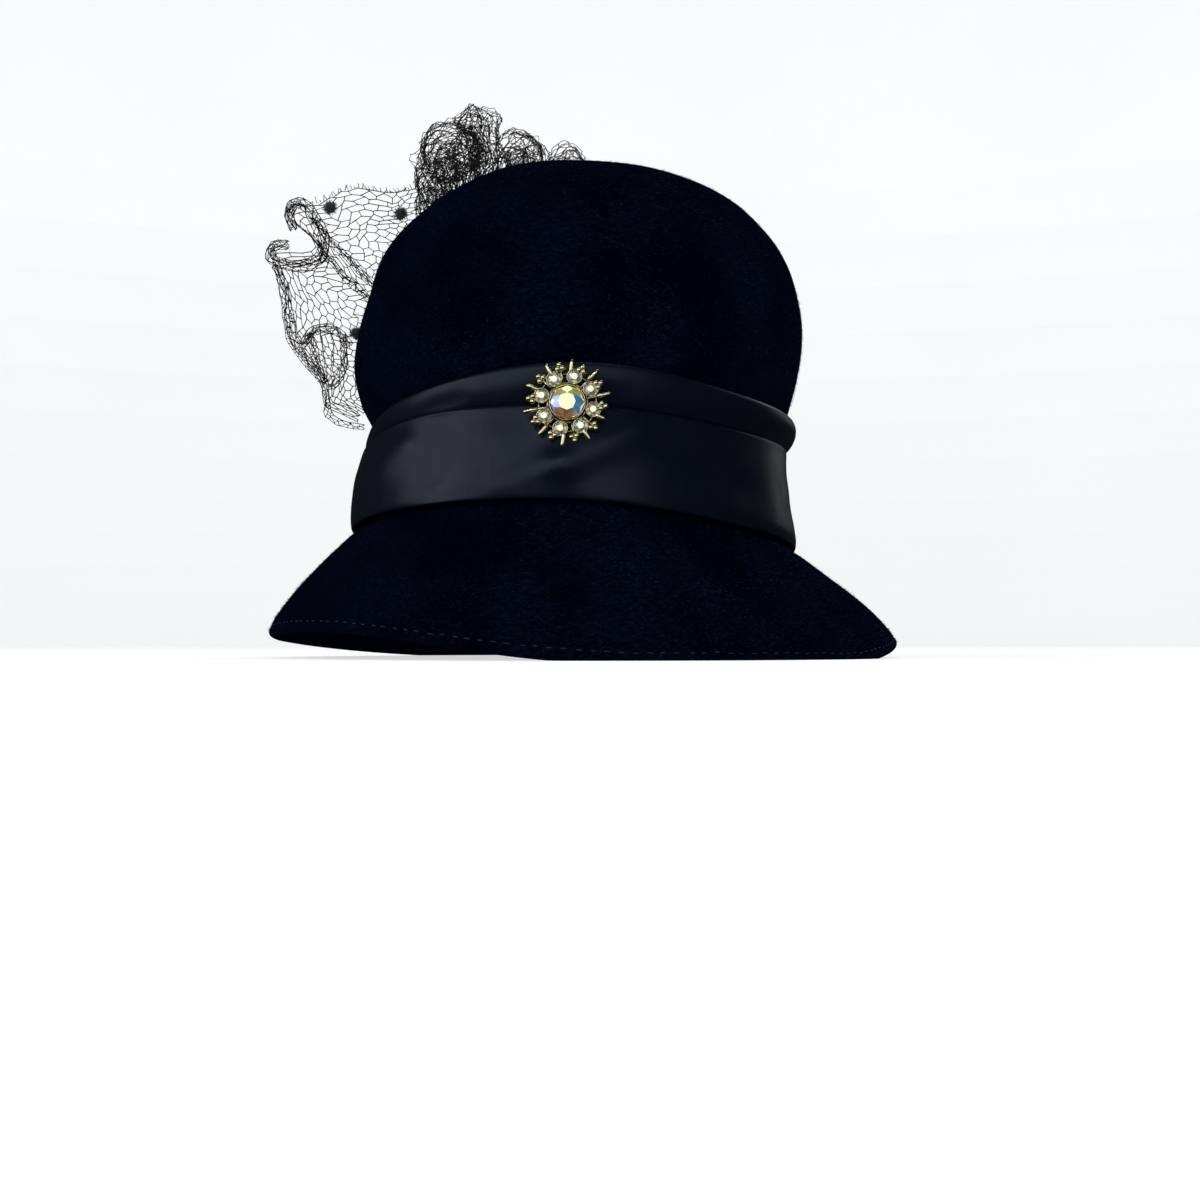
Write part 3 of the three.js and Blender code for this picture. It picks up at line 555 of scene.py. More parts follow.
def crystal_finish(name, colours, cell):
    """Foil-backed glass with a rainbow coat: each facet shows one clear colour, partly the coat's tint and
    partly painted reflection, with painted glints in it. A facet's number picks its colour, and the glints'
    cells are given in metres."""
    made, tree = finish(name)
    where = add(tree, "ShaderNodeTexCoord").outputs["Object"]
    facet = add(tree, "ShaderNodeAttribute", attribute_name="facet").outputs["Fac"]
    colour = linear(colours[0])
    for step, code in enumerate(colours[1:]):
        share = add(
            tree, "ShaderNodeMapRange", {"Value": facet, "From Min": step + 0.35, "From Max": step + 0.65}
        )
        blend = {0: share, 6: colour, 7: linear(code)}
        colour = add(tree, "ShaderNodeMix", blend, data_type="RGBA").outputs[2]
    # Painted glints: some cells of the colour are lightened towards near white, as painted highlights
    glints = add(tree, "ShaderNodeTexVoronoi", {"Vector": where, "Scale": 1 / cell})
    sparkle = add(tree, "ShaderNodeSeparateColor", {0: glints.outputs["Color"]})
    bright = add(
        tree,
        "ShaderNodeMapRange",
        {"Value": sparkle, "From Min": 0.45, "From Max": 1.0, "To Min": 0.0, "To Max": 0.6},
    )
    colour_with_glints = add(tree, "ShaderNodeMix", {0: bright, 6: colour, 7: linear("#f3f4ea")}, data_type="RGBA")
    tilt = add(tree, "ShaderNodeBump", {"Height": sparkle, "Strength": 0.3, "Distance": 0.0003})
    shade(
        tree,
        Base_Color=colour_with_glints.outputs[2],
        Metallic=0.7,
        Roughness=0.06,
        Coat_Weight=1.0,
        Coat_Roughness=0.02,
        Normal=tilt,
    )
    return made


def thread_finish(name, low, high, sheen):
    """Twisted nylon and chenille yarn: near black, matt, with a faint lint-grey edge."""
    made, tree = finish(name)
    where = add(tree, "ShaderNodeTexCoord").outputs["Object"]
    twist = add(tree, "ShaderNodeTexNoise", {"Vector": where, "Scale": 1 / 0.0018, "Detail": 2.0})
    colour = add(tree, "ShaderNodeMix", {0: twist, 6: linear(low), 7: linear(high)}, data_type="RGBA")
    bump = add(tree, "ShaderNodeBump", {"Height": twist, "Strength": 0.4, "Distance": 0.0001})
    shade(
        tree,
        Base_Color=colour.outputs[2],
        Roughness=0.75,
        Sheen_Weight=sheen,
        Sheen_Roughness=0.5,
        Normal=bump,
    )
    return made


FELT = felt_finish()
SATIN = satin_finish()
GILT = gilt_finish()
NET = thread_finish("black_nylon_net_thread", "#05060a", "#0d0f16", 0.02)
CHENILLE = thread_finish("black_chenille_yarn", "#08090d", "#16181f", 0.3)
STITCH = thread_finish("navy_sewing_thread", "#04070d", "#0b121f", 0.02)


# Felt


# Columns are steps round the hat, and rows are steps from foot to tip or from crown to rim. The hairs are
# drawn coarser than real ones, as coarse as they need to be to show
COLUMNS = 288
CROWN_ROWS = 110
BRIM_ROWS = 90
CROWN_HAIRS = 26000
BRIM_HAIRS = 20000
HAIR_LENGTH = 1.7
HAIR_WIDTH = 0.075
HAIR_ROOT_DEPTH = 0.15
HAIR_STRAY = 0.45
HAIR_LEAN = (0.2, 0.75)
HAIR_REACH = (0.55, 1.0)
STITCH_SHARE = 0.925
FURROW_SHARE = 0.012
FURROW_DEPTH = 0.4
STITCHES = 168
STITCH_RADIUS = 0.2
STITCH_DIP = 0.28
turns = np.arange(COLUMNS) * TAU / COLUMNS


def crown_outward(point, turn, row):
    """The direction out of the crown. Next to the tip, where its slopes vanish, a lower row serves."""
    out = across(crown_point, turn, np.minimum(row, LAST_ROW - 0.06), 0.02, 0.05)
    return np.where((out * (point - [0, 0, 90])).sum(-1, keepdims=True) < 0, -out, out)


def brim_outward(turn, share):
    """The direction up out of the brim, read a little inside both of its edges."""
    out = across(brim_point, turn, np.clip(share, 0.02, 0.97), 0.02, 0.02)
    return np.where(out[..., 2:] < 0, -out, out)


def hairs(shape, surface, turn, row, roots, out, lay, random):
    """The nap's longer hairs: slim closed spikes that lean out of the felt and the way it is brushed, which
    lay gives as two shares, of the way round the surface and of the way across it."""
    count = len(roots)
    around = unit(surface(turn + 0.02, row) - surface(turn - 0.02, row))
    brushed = unit(around * lay[0] + np.cross(around, out) * lay[1])
    stray = HAIR_STRAY * unit(random.normal(size=roots.shape))
    way = unit(brushed + stray + out * random.uniform(*HAIR_LEAN, (count, 1)))
    side = unit(np.cross(way, out))
    up = np.cross(side, way) * HAIR_WIDTH
    side = side * HAIR_WIDTH
    reach = random.uniform(*HAIR_REACH, (count, 1)) * HAIR_LENGTH
    root = roots - out * HAIR_ROOT_DEPTH
    corners = np.stack([root + side, root - side, root + up, root + way * reach], 1)
    sides = np.array([(0, 1, 2), (0, 3, 1), (1, 3, 2), (2, 3, 0)])
    base = np.arange(count)[:, None, None] * 4
    # Each hair's mark is how much painted sheen lightens it
    light = random.uniform(0.15, 1.0, count * 4) ** 2
    shape.add(corners.reshape(-1, 3), [(base + sides).reshape(-1, 3)], mark=light)


def felt_crown():
    """The crown's wall: the outer face up to the tip, and the same face moved in by the felt's thickness.
    Its nap is brushed round and upwards."""
    # The rows lie closer together towards the tip
    rows = LAST_ROW * (1 - (1 - np.linspace(0, 1, CROWN_ROWS, endpoint=False)) ** 1.25)
    outer = crown_point(turns[None, :], rows[:, None])
    out = crown_outward(outer, turns[None, :], rows[:, None])
    inner = (outer - out * CROWN_FELT)[::3]
    # Hand blocking leaves soft unevenness a fraction of a millimetre deep and about 34 mm long
    outer = outer + out * 0.22 * noise_field(outer, 34, 5)[..., None]
    tips = [[0, 0, CROWN_TIP], [0, 0, CROWN_TIP - CROWN_FELT]]
    shape = Shape()
    shape.add(*closed_skin(np.concatenate([outer[::-1], inner]), tips))
    # Hairs are thinned out towards the tip, where the rows crowd, so that the felt is evenly covered
    random = np.random.default_rng(14)
    turn = random.uniform(0, TAU, CROWN_HAIRS)
    row = rows[-1] * random.uniform(0.22, 1, CROWN_HAIRS) ** 0.85
    kept = random.uniform(0, 1, CROWN_HAIRS) < np.hypot(*crown_point(turn, row)[:, :2].T) / 95
    turn, row = turn[kept], row[kept]
    roots = crown_point(turn, row)
    hairs(shape, crown_point, turn, row, roots, crown_outward(roots, turn, row), (0.8, 0.6), random)
    return piece("felt_crown", shape, FELT, ["crown"], mark="nap")


def brim_face(turn, share):
    """The brim's upper face, with a shallow furrow where the hem is stitched."""
    point = brim_point(turn, share)
    furrow = np.exp(-(((share - STITCH_SHARE) / FURROW_SHARE) ** 2))
    point[..., 2] -= FURROW_DEPTH * furrow
    return point


def felt_brim():
    """The brim's wall: a collar inside the crown, the flare, and a rounded hem, cut level at the floor."""
    foot = headline(turns) + CROWN_SEAM_RISE
    depth = CROWN_FELT + SEAT_GAP
    shoulder = foot - BRIM_SEAT_GAP
    rings = [
        beside_crown(turns, foot + COLLAR_HEIGHT, -depth),
        beside_crown(turns, shoulder, -depth),
        beside_crown(turns, shoulder, 0),
    ]
    shares = np.linspace(0, 0.985, BRIM_ROWS)[:, None]
    face = brim_face(turns[None, :], shares)
    out = brim_outward(turns[None, :], shares)
    # The felt is doubled where the hem is turned under
    thick = mix(BRIM_FELT, HEM_THICKNESS, smoothstep(shares, 0.72, 0.8))[..., None]
    under = face - out * thick
    face = face + out * (0.25 * noise_field(face, 40, 8) * np.sin(np.pi * shares))[..., None]
    # The rim is a half round, a little flattened, from the upper face to the under one
    edge_out = out[-1]
    level = level_outward(turns, BRIM_HALF_WIDTH, BRIM_HALF_LENGTH)
    away = 0.75 * unit(np.cross(edge_out, np.cross(level, edge_out)))
    middle = (face[-1] + under[-1]) / 2
    lip = [
        middle + HEM_THICKNESS / 2 * (edge_out * math.cos(angle) + away * math.sin(angle))
        for angle in np.radians(np.arange(25, 151, 25))
    ]
    rings += [*face, *lip, *under[::-3], beside_crown(turns, foot + COLLAR_HEIGHT, -depth - BRIM_FELT)]
    rings = np.array(rings)
    rings[..., 2] = np.maximum(rings[..., 2], 0)
    shape = Shape()
    shape.add(*closed_skin(rings))
    random = np.random.default_rng(15)
    turn, share = random.uniform(0, TAU, BRIM_HAIRS), random.uniform(0.02, 0.98, BRIM_HAIRS) ** 0.8
    roots = brim_face(turn, share)
    hairs(shape, brim_point, turn, share, roots, brim_outward(turn, share), (0.9, 0.35), random)
    # The hairs at the rim lie along the floor
    shape.points[-1][:, 2] = np.maximum(shape.points[-1][:, 2], 0)
    return piece("felt_brim", shape, FELT, ["brim"], mark="nap")


def capsule(start, end, radius, sides=6, taper=(0.45, 1.0, 1.0, 0.45)):
    """A short rounded bar between two points: rings whose radius narrows at both ends."""
    start, end = np.asarray(start, float), np.asarray(end, float)
    axis = unit(end - start)
    side = unit(np.cross(axis, [0.31, 0.52, 0.79]))
    up = np.cross(axis, side)
    level = circle(sides)
    hoop = level[:, :1] * side + level[:, 1:2] * up
    places = np.linspace(0, 1, len(taper))
    rings = np.array([mix(start, end, s) + hoop * radius * t for s, t in zip(places, taper)])
    return closed_skin(rings, [start - axis * radius * 0.15, end + axis * radius * 0.15])


def hem_stitches():
    """Hand stitches through the turned hem: short bars of thread that dip into the felt at both ends. Each
    takes up less than half of its step round the brim, and the rest is the space to the next."""
    random = np.random.default_rng(21)
    shape = Shape()
    for k in range(STITCHES):
        turn = (k + random.uniform(-0.12, 0.12)) * TAU / STITCHES
        length = random.uniform(0.36, 0.5) * TAU / STITCHES
        share = STITCH_SHARE + random.normal(0, 0.0025)
        ends = brim_point(np.array([turn - length / 2, turn + length / 2]), np.array([share, share]))
        ends[:, 2] -= STITCH_DIP
        shape.add(*capsule(ends[0], ends[1], STITCH_RADIUS))
    return piece("hem_stitches", shape, STITCH)


# Satin


# Each crease's two ends as x and z, its width, and its rise, which is below zero for a hollow
SATIN_CREASES = (
    (-47, 82, -49, 58, 8.0, -0.75),
    (22, 80, -4, 64, 7.5, 1.3),
    (-4, 64, -26, 58, 5.0, 0.6),
    (-34, 60, -62, 54, 3.0, 0.35),
    (-60, 75, -74, 62, 5.0, 0.5),
    (34, 72, 60, 58, 7.0, -0.5),
    (58, 66, 76, 46, 8.0, 0.15),
    (-30, 90, 14, 96, 5.0, 0.35),
    (-62, 84, -40, 88, 4.0, -0.3),
)
CREASE_DEPTH = 1.9
FOLD_RADIUS = 1.2
FOOT_RADIUS = 0.6
# The upper edge, folded over, so that it is round and stands a little off the felt: each ring's share of
# the way down the upper tier, its lift, and its share of the band's fullness
TOP_EDGE = ((0.0, 0.2, 0), (-0.012, 0.75, 0), (-0.008, 1.4, 0), (0.012, 1.95, 0.1))
# The tuck behind the fold: each ring's depth below the fold, and its lift
TUCK = ((1.0, 1.15), (2.2, 1.1), (2.3, 1.7))
# The lifts of the tiers, of the middles of the two rolled edges, and of the inner face
UPPER_LIFT = 2.0
LOWER_LIFT = 3.65
FOLD_LIFT = 2.55
FOOT_LIFT = 3.0
INNER_LIFT = 0.05


def satin_creases(x, z):
    """Soft ridges and hollows on the band's front: the sum of bell curves of the distance to each line."""
    total = 0 * x
    for x0, z0, x1, z1, width, rise in SATIN_CREASES:
        long = math.hypot(x1 - x0, z1 - z0)
        share = np.clip(((x - x0) * (x1 - x0) + (z - z0) * (z1 - z0)) / long**2, 0, 1)
        far = np.hypot(x - mix(x0, x1, share), z - mix(z0, z1, share))
        total = total + CREASE_DEPTH * rise * np.exp(-((far / width) ** 2))
    return total


def satin_band():
    """The band's section, carried round the crown. From the top: the upper tier, a tuck behind the fold,
    the fold's rolled edge, the lower tier, and the inner face against the felt. Heights come from the
    stations, and each ring of the section has its lift in millimetres off the felt."""
    around = np.arange(BAND_COLUMNS) * TAU / BAND_COLUMNS
    foot = headline(around) + BAND_FOOT_CLEARANCE
    fold = foot + BAND_WIDTH * read_around(STATIONS["fold"], around)
    top = foot + BAND_WIDTH * read_around(STATIONS["top"], around)
    puff = BAND_LIFT * read_around(STATIONS["puff"], around)
    rings = []

    def ring(height, lift, creased=0.0):
        # The creases fade out round the sides, where a slight unevenness takes over
        point = beside_crown(around, height, SEAT_GAP + lift)
        if creased:
            front = smoothstep(-point[:, 1], 10, 50)
            out = level_outward(around, CROWN_HALF_WIDTH, CROWN_HALF_LENGTH)
            drape = satin_creases(point[:, 0], point[:, 2]) * front
            drape = drape + 0.45 * noise_field(point * [1, 1, 2.2], 46, 12) * (1 - 0.5 * front)
            point = point + out * (creased * drape)[:, None]
        rings.append(point)

    for share, lift, full in TOP_EDGE:
        ring(mix(top, fold, share), lift + full * puff)
    for share in np.linspace(0.05, 0.98, 17):
        swell = math.sin(math.pi * share) ** 0.6
        ring(mix(top, fold, share), UPPER_LIFT + 0.75 * swell + puff * swell, 0.5 * swell)
    for below, lift in TUCK:
        ring(fold - below, lift)
    for angle in np.radians([160, 130, 100, 75, 50, 25]):
        rise = FOLD_RADIUS * math.sin(angle)
        ring(fold - FOLD_RADIUS + rise, FOLD_LIFT + FOLD_RADIUS * math.cos(angle))
    for share in np.linspace(0.035, 0.985, 30):
        belly = math.sin(math.pi * share) ** 0.7
        ring(mix(fold, foot, share), LOWER_LIFT + 0.4 * belly, belly)
    for angle in np.radians([0, -40, -80, -120, -160]):
        ring(foot + 0.1 + FOOT_RADIUS * math.sin(angle), FOOT_LIFT + FOOT_RADIUS * math.cos(angle))
    for share in np.linspace(0.03, 0.97, 8):
        ring(mix(foot, top, share), INNER_LIFT)
    shape = Shape()
    shape.add(*closed_skin(np.array(rings)))
    return piece("satin_drape", shape, SATIN, ["satin_band"])


# Brooch


RAYS = 10
RAY_SHIFT = 0.33
SMALL_STONES = 8
SMALL_STONE_SHIFT = 0.66
SMALL_STONE_RING = 8.9
STONE_MIDDLE = 1.55
# The cups' walls, as (radius, height) in millimetres
SMALL_CUP = ((1.2, 0.3), (2.2, 0.3), (2.6, 1.0), (2.62, 1.55))
SMALL_CUP += ((2.5, 1.72), (2.36, 1.66), (2.34, 1.2), (1.2, 0.9))
CENTRE_CUP = ((3.6, 0.3), (5.2, 0.3), (6.0, 1.2), (6.05, 2.0))
CENTRE_CUP += ((5.94, 2.16), (5.8, 2.1), (5.76, 1.6), (3.6, 1.0))
PLATE = ((0.8, 0.0), (6.3, 0.0), (6.3, 0.5), (0.8, 0.5))
# The wire rings, as (radius, the wire's radius)
WIRE_RINGS = ((6.6, 0.5), (9.6, 0.45))
# The spoke under each ray, the ray and the stem: start and end as (radius, height), and the bar's radius
SPOKE = ((5.4, 0.5), (10.6, 1.0), 0.5)
RAY = ((10.0, 1.0), (14.4, 1.15), 0.88)
STEM = ((5.4, 0.5), (11.4, 1.2), 0.42)
RAY_TAPER = (0.75, 1.0, 1.0, 0.95, 0.85, 0.6)
STRAIGHT = (1.0, 1.0, 1.0)
# The three balls at a stem's end: how far each is sideways and outward of BALL_PLACE, a (radius, height)
BALLS = ((-0.82, 0.0), (0.82, 0.0), (0.0, 1.35))
BALL_PLACE = (11.5, 1.35)
BALL_RADIUS = 1.05
STONE_BASE = 0.7
STONE_SIDES = 8
# Each cut's radius, height and table, which is a share of the radius
CENTRE_CUT = (5.78, 3.6, 0.5)
SMALL_CUT = (2.35, 1.85, 0.46)


def small_stone_angle(k):
    """The angle of a small stone round the brooch."""
    return (k + SMALL_STONE_SHIFT) * TAU / SMALL_STONES


def brooch_axes():
    """The brooch's origin and its right, up and outward directions, read from its small stones' places."""
    angles = small_stone_angle(np.arange(SMALL_STONES))
    boxes = [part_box(f"small_stone_{k + 1}") for k in range(SMALL_STONES)]
    centres = np.array([np.mean(box, axis=0) for box in boxes]) / MM
    right = unit((centres * np.cos(angles)[:, None]).sum(0))
    up = (centres * np.sin(angles)[:, None]).sum(0)
    up = unit(up - right * (up @ right))
    out = np.cross(right, up)
    return centres.mean(0) - out * STONE_MIDDLE, np.array([right, up, out])


BROOCH_ORIGIN, BROOCH_AXES = brooch_axes()


def polar(radius, angle, height=0.0):
    """A place on the brooch from its radius, angle and height."""
    return np.array([radius * math.cos(angle), radius * math.sin(angle), height])


def lathe(profile, centre, sides):
    """A closed profile of (radius, height) turned about an upright axis."""
    return closed_skin(np.array([circle(sides) * r + [0, 0, z] for r, z in profile]) + centre)


def ball(centre, radius):
    """A round ball: twelve-sided rings at even angles from pole to pole."""
    rings = centre + radius * globe([-60, -36, -12, 12, 36, 60], 12)
    return closed_skin(rings, [centre - [0, 0, radius], centre + np.array([0, 0, radius])])


def brooch_setting():
    """Openwork: two wire rings, ten blunt rays, ten stems with three balls each, and each stone's cup."""
    random = np.random.default_rng(4)
    shape = Shape()

    def join(made):
        # The mark rises from 0 in the recesses to 1 on what stands up: dark patina and painted shade below,
        # clean gilt above
        shape.add(*made, mark=np.clip((made[0][:, 2] + 0.2) / 2.6, 0, 1))

    def bar(start, end, wire, angle, bend, sides, taper):
        ends = polar(start[0], angle, start[1]), polar(end[0], angle + bend, end[1])
        join(capsule(*ends, wire, sides, taper))

    def hoop(radius, wire):
        return [(radius + wire * x, wire + wire * z) for x, z, _ in circle(6)]

    centre = np.zeros(3)
    for radius, wire in WIRE_RINGS:
        join(lathe(hoop(radius, wire), centre, 40))
    join(lathe(PLATE, centre, 32))
    for k in range(RAYS):
        angle = (k + RAY_SHIFT) * TAU / RAYS
        start, (reach, high), wire = RAY
        reach = reach + random.uniform(-0.8, 0.5)
        bend = random.uniform(-0.03, 0.03)
        bar(*SPOKE, angle, 0, 8, STRAIGHT)
        bar(start, (reach, high), wire, angle, bend, 8, RAY_TAPER)
        # Halfway to the next ray, a stem ends in three balls: two side by side and one beyond
        stem = angle + math.pi / RAYS
        bar(*STEM, stem, 0, 7, STRAIGHT)
        for sideways, outward in BALLS:
            place = polar(BALL_PLACE[0] + outward, stem, BALL_PLACE[1])
            place = place + sideways * np.array([-math.sin(stem), math.cos(stem), 0])
            join(ball(place, BALL_RADIUS))
    for k in range(SMALL_STONES):
        join(lathe(SMALL_CUP, polar(SMALL_STONE_RING, small_stone_angle(k)), 24))
    join(lathe(CENTRE_CUP, centre, 48))
    shape.move(BROOCH_ORIGIN, BROOCH_AXES)
    return piece("brooch_openwork", shape, GILT, ["brooch_setting"], mark="height")


def cut_stone(radius, height, table_share, tint):
    """A brilliant cut: a girdle, a ring of small facets, a ring of large ones, and a flat table. Each facet
    is marked with tint(angle, ring), so that it shows one colour."""
    base, sides = STONE_BASE, STONE_SIDES

    def ring(share, up, shift=0.0):
        return circle(sides, shift) * radius * share + [0, 0, base + height * up]

    rings = [ring(1.0, 0.0), ring(1.0, 0.3), ring(0.8, 0.66, 0.5), ring(table_share, 1.0)]
    points = np.concatenate([*rings, [[0, 0, base], [0, 0, base + height]]])
    k = np.arange(sides)
    on, before = (k + 1) % sides, (k - 1) % sides
    foot, girdle, middle, flat = (k + sides * r for r in range(4))
    under, top = np.full(sides, 4 * sides), np.full(sides, 4 * sides + 1)
    facets = (
        (0, (under, foot[on], foot)),
        (0, (foot, foot[on], girdle[on], girdle)),
        (1, (girdle, girdle[on], middle)),
        (2, (middle[before], girdle, middle, flat)),
        (3, (flat, middle, flat[on])),
        (4, (flat, flat[on], top)),
    )
    shape = Shape()
    shape.add(points, [np.stack(corners, -1) for _, corners in facets])
    shape.marks = []
    for ring_number, corners in facets:
        middles = points[np.stack(corners, -1)].mean(1)
        shape.marks += [[tint(math.atan2(y, x), ring_number)] for x, y, _ in middles]
    shape.move(BROOCH_ORIGIN, BROOCH_AXES)
    return shape


# The facets' colours, by facet number: the rainbow coat's tints with painted reflection, and at number 5 a
# near-white painted highlight
CENTRE_COLOURS = ["#f0f6bf", "#dfe36a", "#93a4f0", "#5cb8f6", "#bf8256", "#f6f6ea", "#8f96a8"]
SMALL_COLOURS = ["#f6f2c4", "#a29c66", "#7d8db0", "#93ad8c", "#b59a8c", "#fdfcf2", "#57544a"]


def centre_tint(angle, ring):
    """The colour's number for a facet, by its angle and ring. The table is pale yellow-green. Round it the
    coat goes from yellow above through violet-blue and orange-brown to azure, and the girdle is grey. These
    are the coat's tints with painted reflection, and the small facets at the right are near-white painted
    highlights."""
    if ring == 4:
        return 0
    degrees = math.degrees(angle) % 360
    if ring == 0:
        return 6
    if 40 <= degrees < 150:
        return 1 if ring != 3 else 0
    if 150 <= degrees < 215:
        return 2
    if 215 <= degrees < 300:
        return 4
    return 3 if ring != 1 else 5


def stones():
    """The centre stone and eight small ones, each a cut stone in its own cup. A small stone's facets take
    every second colour in turn, from a start of its own."""

    def set_stone(name, shape, coat, node):
        piece(name, shape, coat, [node], smooth=False, mark="facet", domain="FACE")

    coat = crystal_finish("rainbow_coated_crystal", CENTRE_COLOURS, 0.0013)
    set_stone("centre_crystal", cut_stone(*CENTRE_CUT, centre_tint), coat, "centre_stone")
    random = np.random.default_rng(9)
    coat = crystal_finish("rainbow_coated_chaton", SMALL_COLOURS, 0.0007)
    for k in range(SMALL_STONES):
        start = int(random.integers(0, 6))
        steps = random.integers(0, 3, 5)

        # A facet of colour 5, near white, is a painted highlight
        def tint(angle, ring):
            if ring == 0:
                return 6
            if ring == 4:
                return start % 2 * 5
            return (start + steps[ring] + int((angle % TAU) / TAU * 8) * 2) % 6

        shape = cut_stone(*SMALL_CUT, tint)
        offset = polar(SMALL_STONE_RING, small_stone_angle(k)) @ BROOCH_AXES
        shape.points = [p + offset for p in shape.points]
        set_stone(f"small_crystal_{k + 1}", shape, coat, f"small_stone_{k + 1}")


# Veiling


def fan_point(along, out):
    """A sheet from its root up the crown's back left to a wavy free edge. It is bowed out to the side by
    half a sine wave, and its pleats, a sine wave along it, grow towards the edge."""
    along, out = np.broadcast_arrays(np.asarray(along, float), np.asarray(out, float))
    root_height = BRIM_DROP + CROWN_HEIGHT * mix(FAN_ROOT_HIGH, FAN_ROOT_LOW, along)
    root = beside_crown(math.radians(FAN_ROOT_TURN), root_height, NET_CLEARANCE + NET_THICKNESS / 2)
    row = along * (len(FAN_EDGE["side"]) - 1)
    edge = np.stack(
        [
            CROWN_HALF_WIDTH * read_row(FAN_EDGE["side"], row),
            CROWN_HALF_LENGTH * read_row(FAN_EDGE["back"], row),
            BRIM_DROP + CROWN_HEIGHT * read_row(FAN_EDGE["high"], row),
        ],
        -1,
    )
    point = mix(root, edge, out[..., None])
    point[..., 0] -= FAN_BOW * np.sin(np.pi * out)
    point[..., 1] += FAN_PLEAT_DEPTH * out * np.sin(TAU * FAN_PLEATS * along)
    return point


def crown_top_at(x, y):
    """The height of the crown's outer face over places in plan, by halving."""
    turn = np.arctan2(y / CROWN_HALF_LENGTH, x / CROWN_HALF_WIDTH)
    far = np.hypot(x, y)

    def outside(row):
        point = crown_point(turn, row)
        return np.hypot(point[..., 0], point[..., 1]) > far

    return crown_point(turn, halve(outside, np.zeros_like(far), 22))[..., 2]


def ruffle_point(along, across_it):
    """A strip that loops up and down over the crown's back, each loop a round head on two close feet. A
    smooth line runs through all feet and heads, and it is lifted wherever it would sink into the crown."""
    along, across_it = np.broadcast_arrays(np.asarray(along, float), np.asarray(across_it, float))
    y = CROWN_HALF_LENGTH * mix(RUFFLE_FRONT, RUFFLE_BACK, across_it)
    # The loops sink with the crown towards the back, and are smaller there
    settle = crown_top_at(0 * y, y) - CROWN_TIP
    grow = mix(1.05, 0.8, across_it)
    ring = np.radians([215, 165, 115, 65, 15, -35])
    xs, zs = [], []

    def stand(x):
        xs.append(0 * y + CROWN_HALF_WIDTH * x)
        zs.append(crown_top_at(xs[-1], y) + STRIP_CLEARANCE)

    for foot, spread, side, high, round_ in RUFFLE_LOOPS:
        radius = CROWN_HALF_WIDTH * round_ * grow
        centre = BRIM_DROP + CROWN_HEIGHT * high + settle
        stand(foot - spread)
        xs += [CROWN_HALF_WIDTH * side + radius * math.cos(a) for a in ring]
        zs += [centre + radius * math.sin(a) for a in ring]
        stand(foot + spread)
    row = along * (len(xs) - 1)
    i = np.clip(np.floor(row).astype(int), 0, len(xs) - 2)

    def read(keys):
        keys = np.array(keys)
        rows = [np.clip(i + k, 0, len(keys) - 1)[None] for k in (-1, 0, 1, 2)]
        return cubic(*(np.take_along_axis(keys, r, 0)[0] for r in rows), row - i)

    x = read(xs)
    return np.stack([x, y, np.maximum(read(zs), crown_top_at(x, y) + STRIP_CLEARANCE)], -1)


def threads(shape, points, edges, radius):
    """A closed four-sided bar along each edge, from point to point, a little longer than the edge."""
    start, end = points[edges[:, 0]], points[edges[:, 1]]
    axis = unit(end - start)
    side = unit(np.cross(axis, np.array([0.23, 0.61, 0.76])))
    up = np.cross(axis, side)
    reach = axis * radius * 0.6
    square = [side, up, -side, -up]
    corners = [start - reach + s * radius for s in square] + [end + reach + s * radius for s in square]
    corners = np.stack(corners, 1).reshape(-1, 3)
    sides = [(0, 1, 5, 4), (1, 2, 6, 5), (2, 3, 7, 6), (3, 0, 4, 7), (3, 2, 1, 0), (4, 5, 6, 7)]
    base = np.arange(len(edges))[:, None, None] * 8
    shape.add(corners, [(base + np.array(sides)).reshape(-1, 4)])


def knots(shape, points, radius):
    """An eight-sided bead at each place where threads are knotted."""
    offsets = np.array([(1, 0, 0), (-1, 0, 0), (0, 1, 0), (0, -1, 0), (0, 0, 1), (0, 0, -1)]) * radius
    corners = (points[:, None] + offsets).reshape(-1, 3)
    sides = [(0, 2, 4), (2, 1, 4), (1, 3, 4), (3, 0, 4), (2, 0, 5), (1, 2, 5), (3, 1, 5), (0, 3, 5)]
    base = np.arange(len(points))[:, None, None] * 6
    shape.add(corners, [(base + np.array(sides)).reshape(-1, 3)])


def hexagon_net(shape, surface, counts, seed, radius, knot, jitter, crumple, keep=None):
    """A net of six-sided holes on a surface: zigzag threads along it, and every second place joined across.
    Jitter moves each knot at random, as a share of a cell, and crumple is the height of soft waves over all
    of the net, in millimetres. A thread stays where keep holds at both of its ends."""
    random = np.random.default_rng(seed)
    along_count, across_count = counts
    i, j = np.meshgrid(np.arange(along_count + 1), np.arange(across_count + 1), indexing="ij")
    zigzag = np.where((i + j) % 2 == 0, 0.16, -0.16)
    a = (i + random.normal(0, jitter, i.shape)) / along_count
    b = (j + zigzag + random.normal(0, jitter, i.shape) * 0.8) / across_count
    points = surface(np.clip(a, 0, 1), np.clip(b, 0, 1)).reshape(-1, 3)
    waves = [noise_field(points, 13, seed + k, 3) for k in (1, 2, 3)]
    points = points + crumple * np.stack(waves, -1)
    number = i * (across_count + 1) + j
    lengthwise = np.stack([number[:-1].ravel(), number[1:].ravel()], -1)
    joined = ((i + j) % 2 == 0)[:, :-1].ravel()
    crosswise = np.stack([number[:, :-1].ravel()[joined], number[:, 1:].ravel()[joined]], -1)
    edges = np.concatenate([lengthwise, crosswise])
    if keep is not None:
        kept = keep(points)
        edges = edges[kept[edges].all(-1)]
    threads(shape, points, edges, radius)
    knots(shape, points[np.unique(edges)], knot)


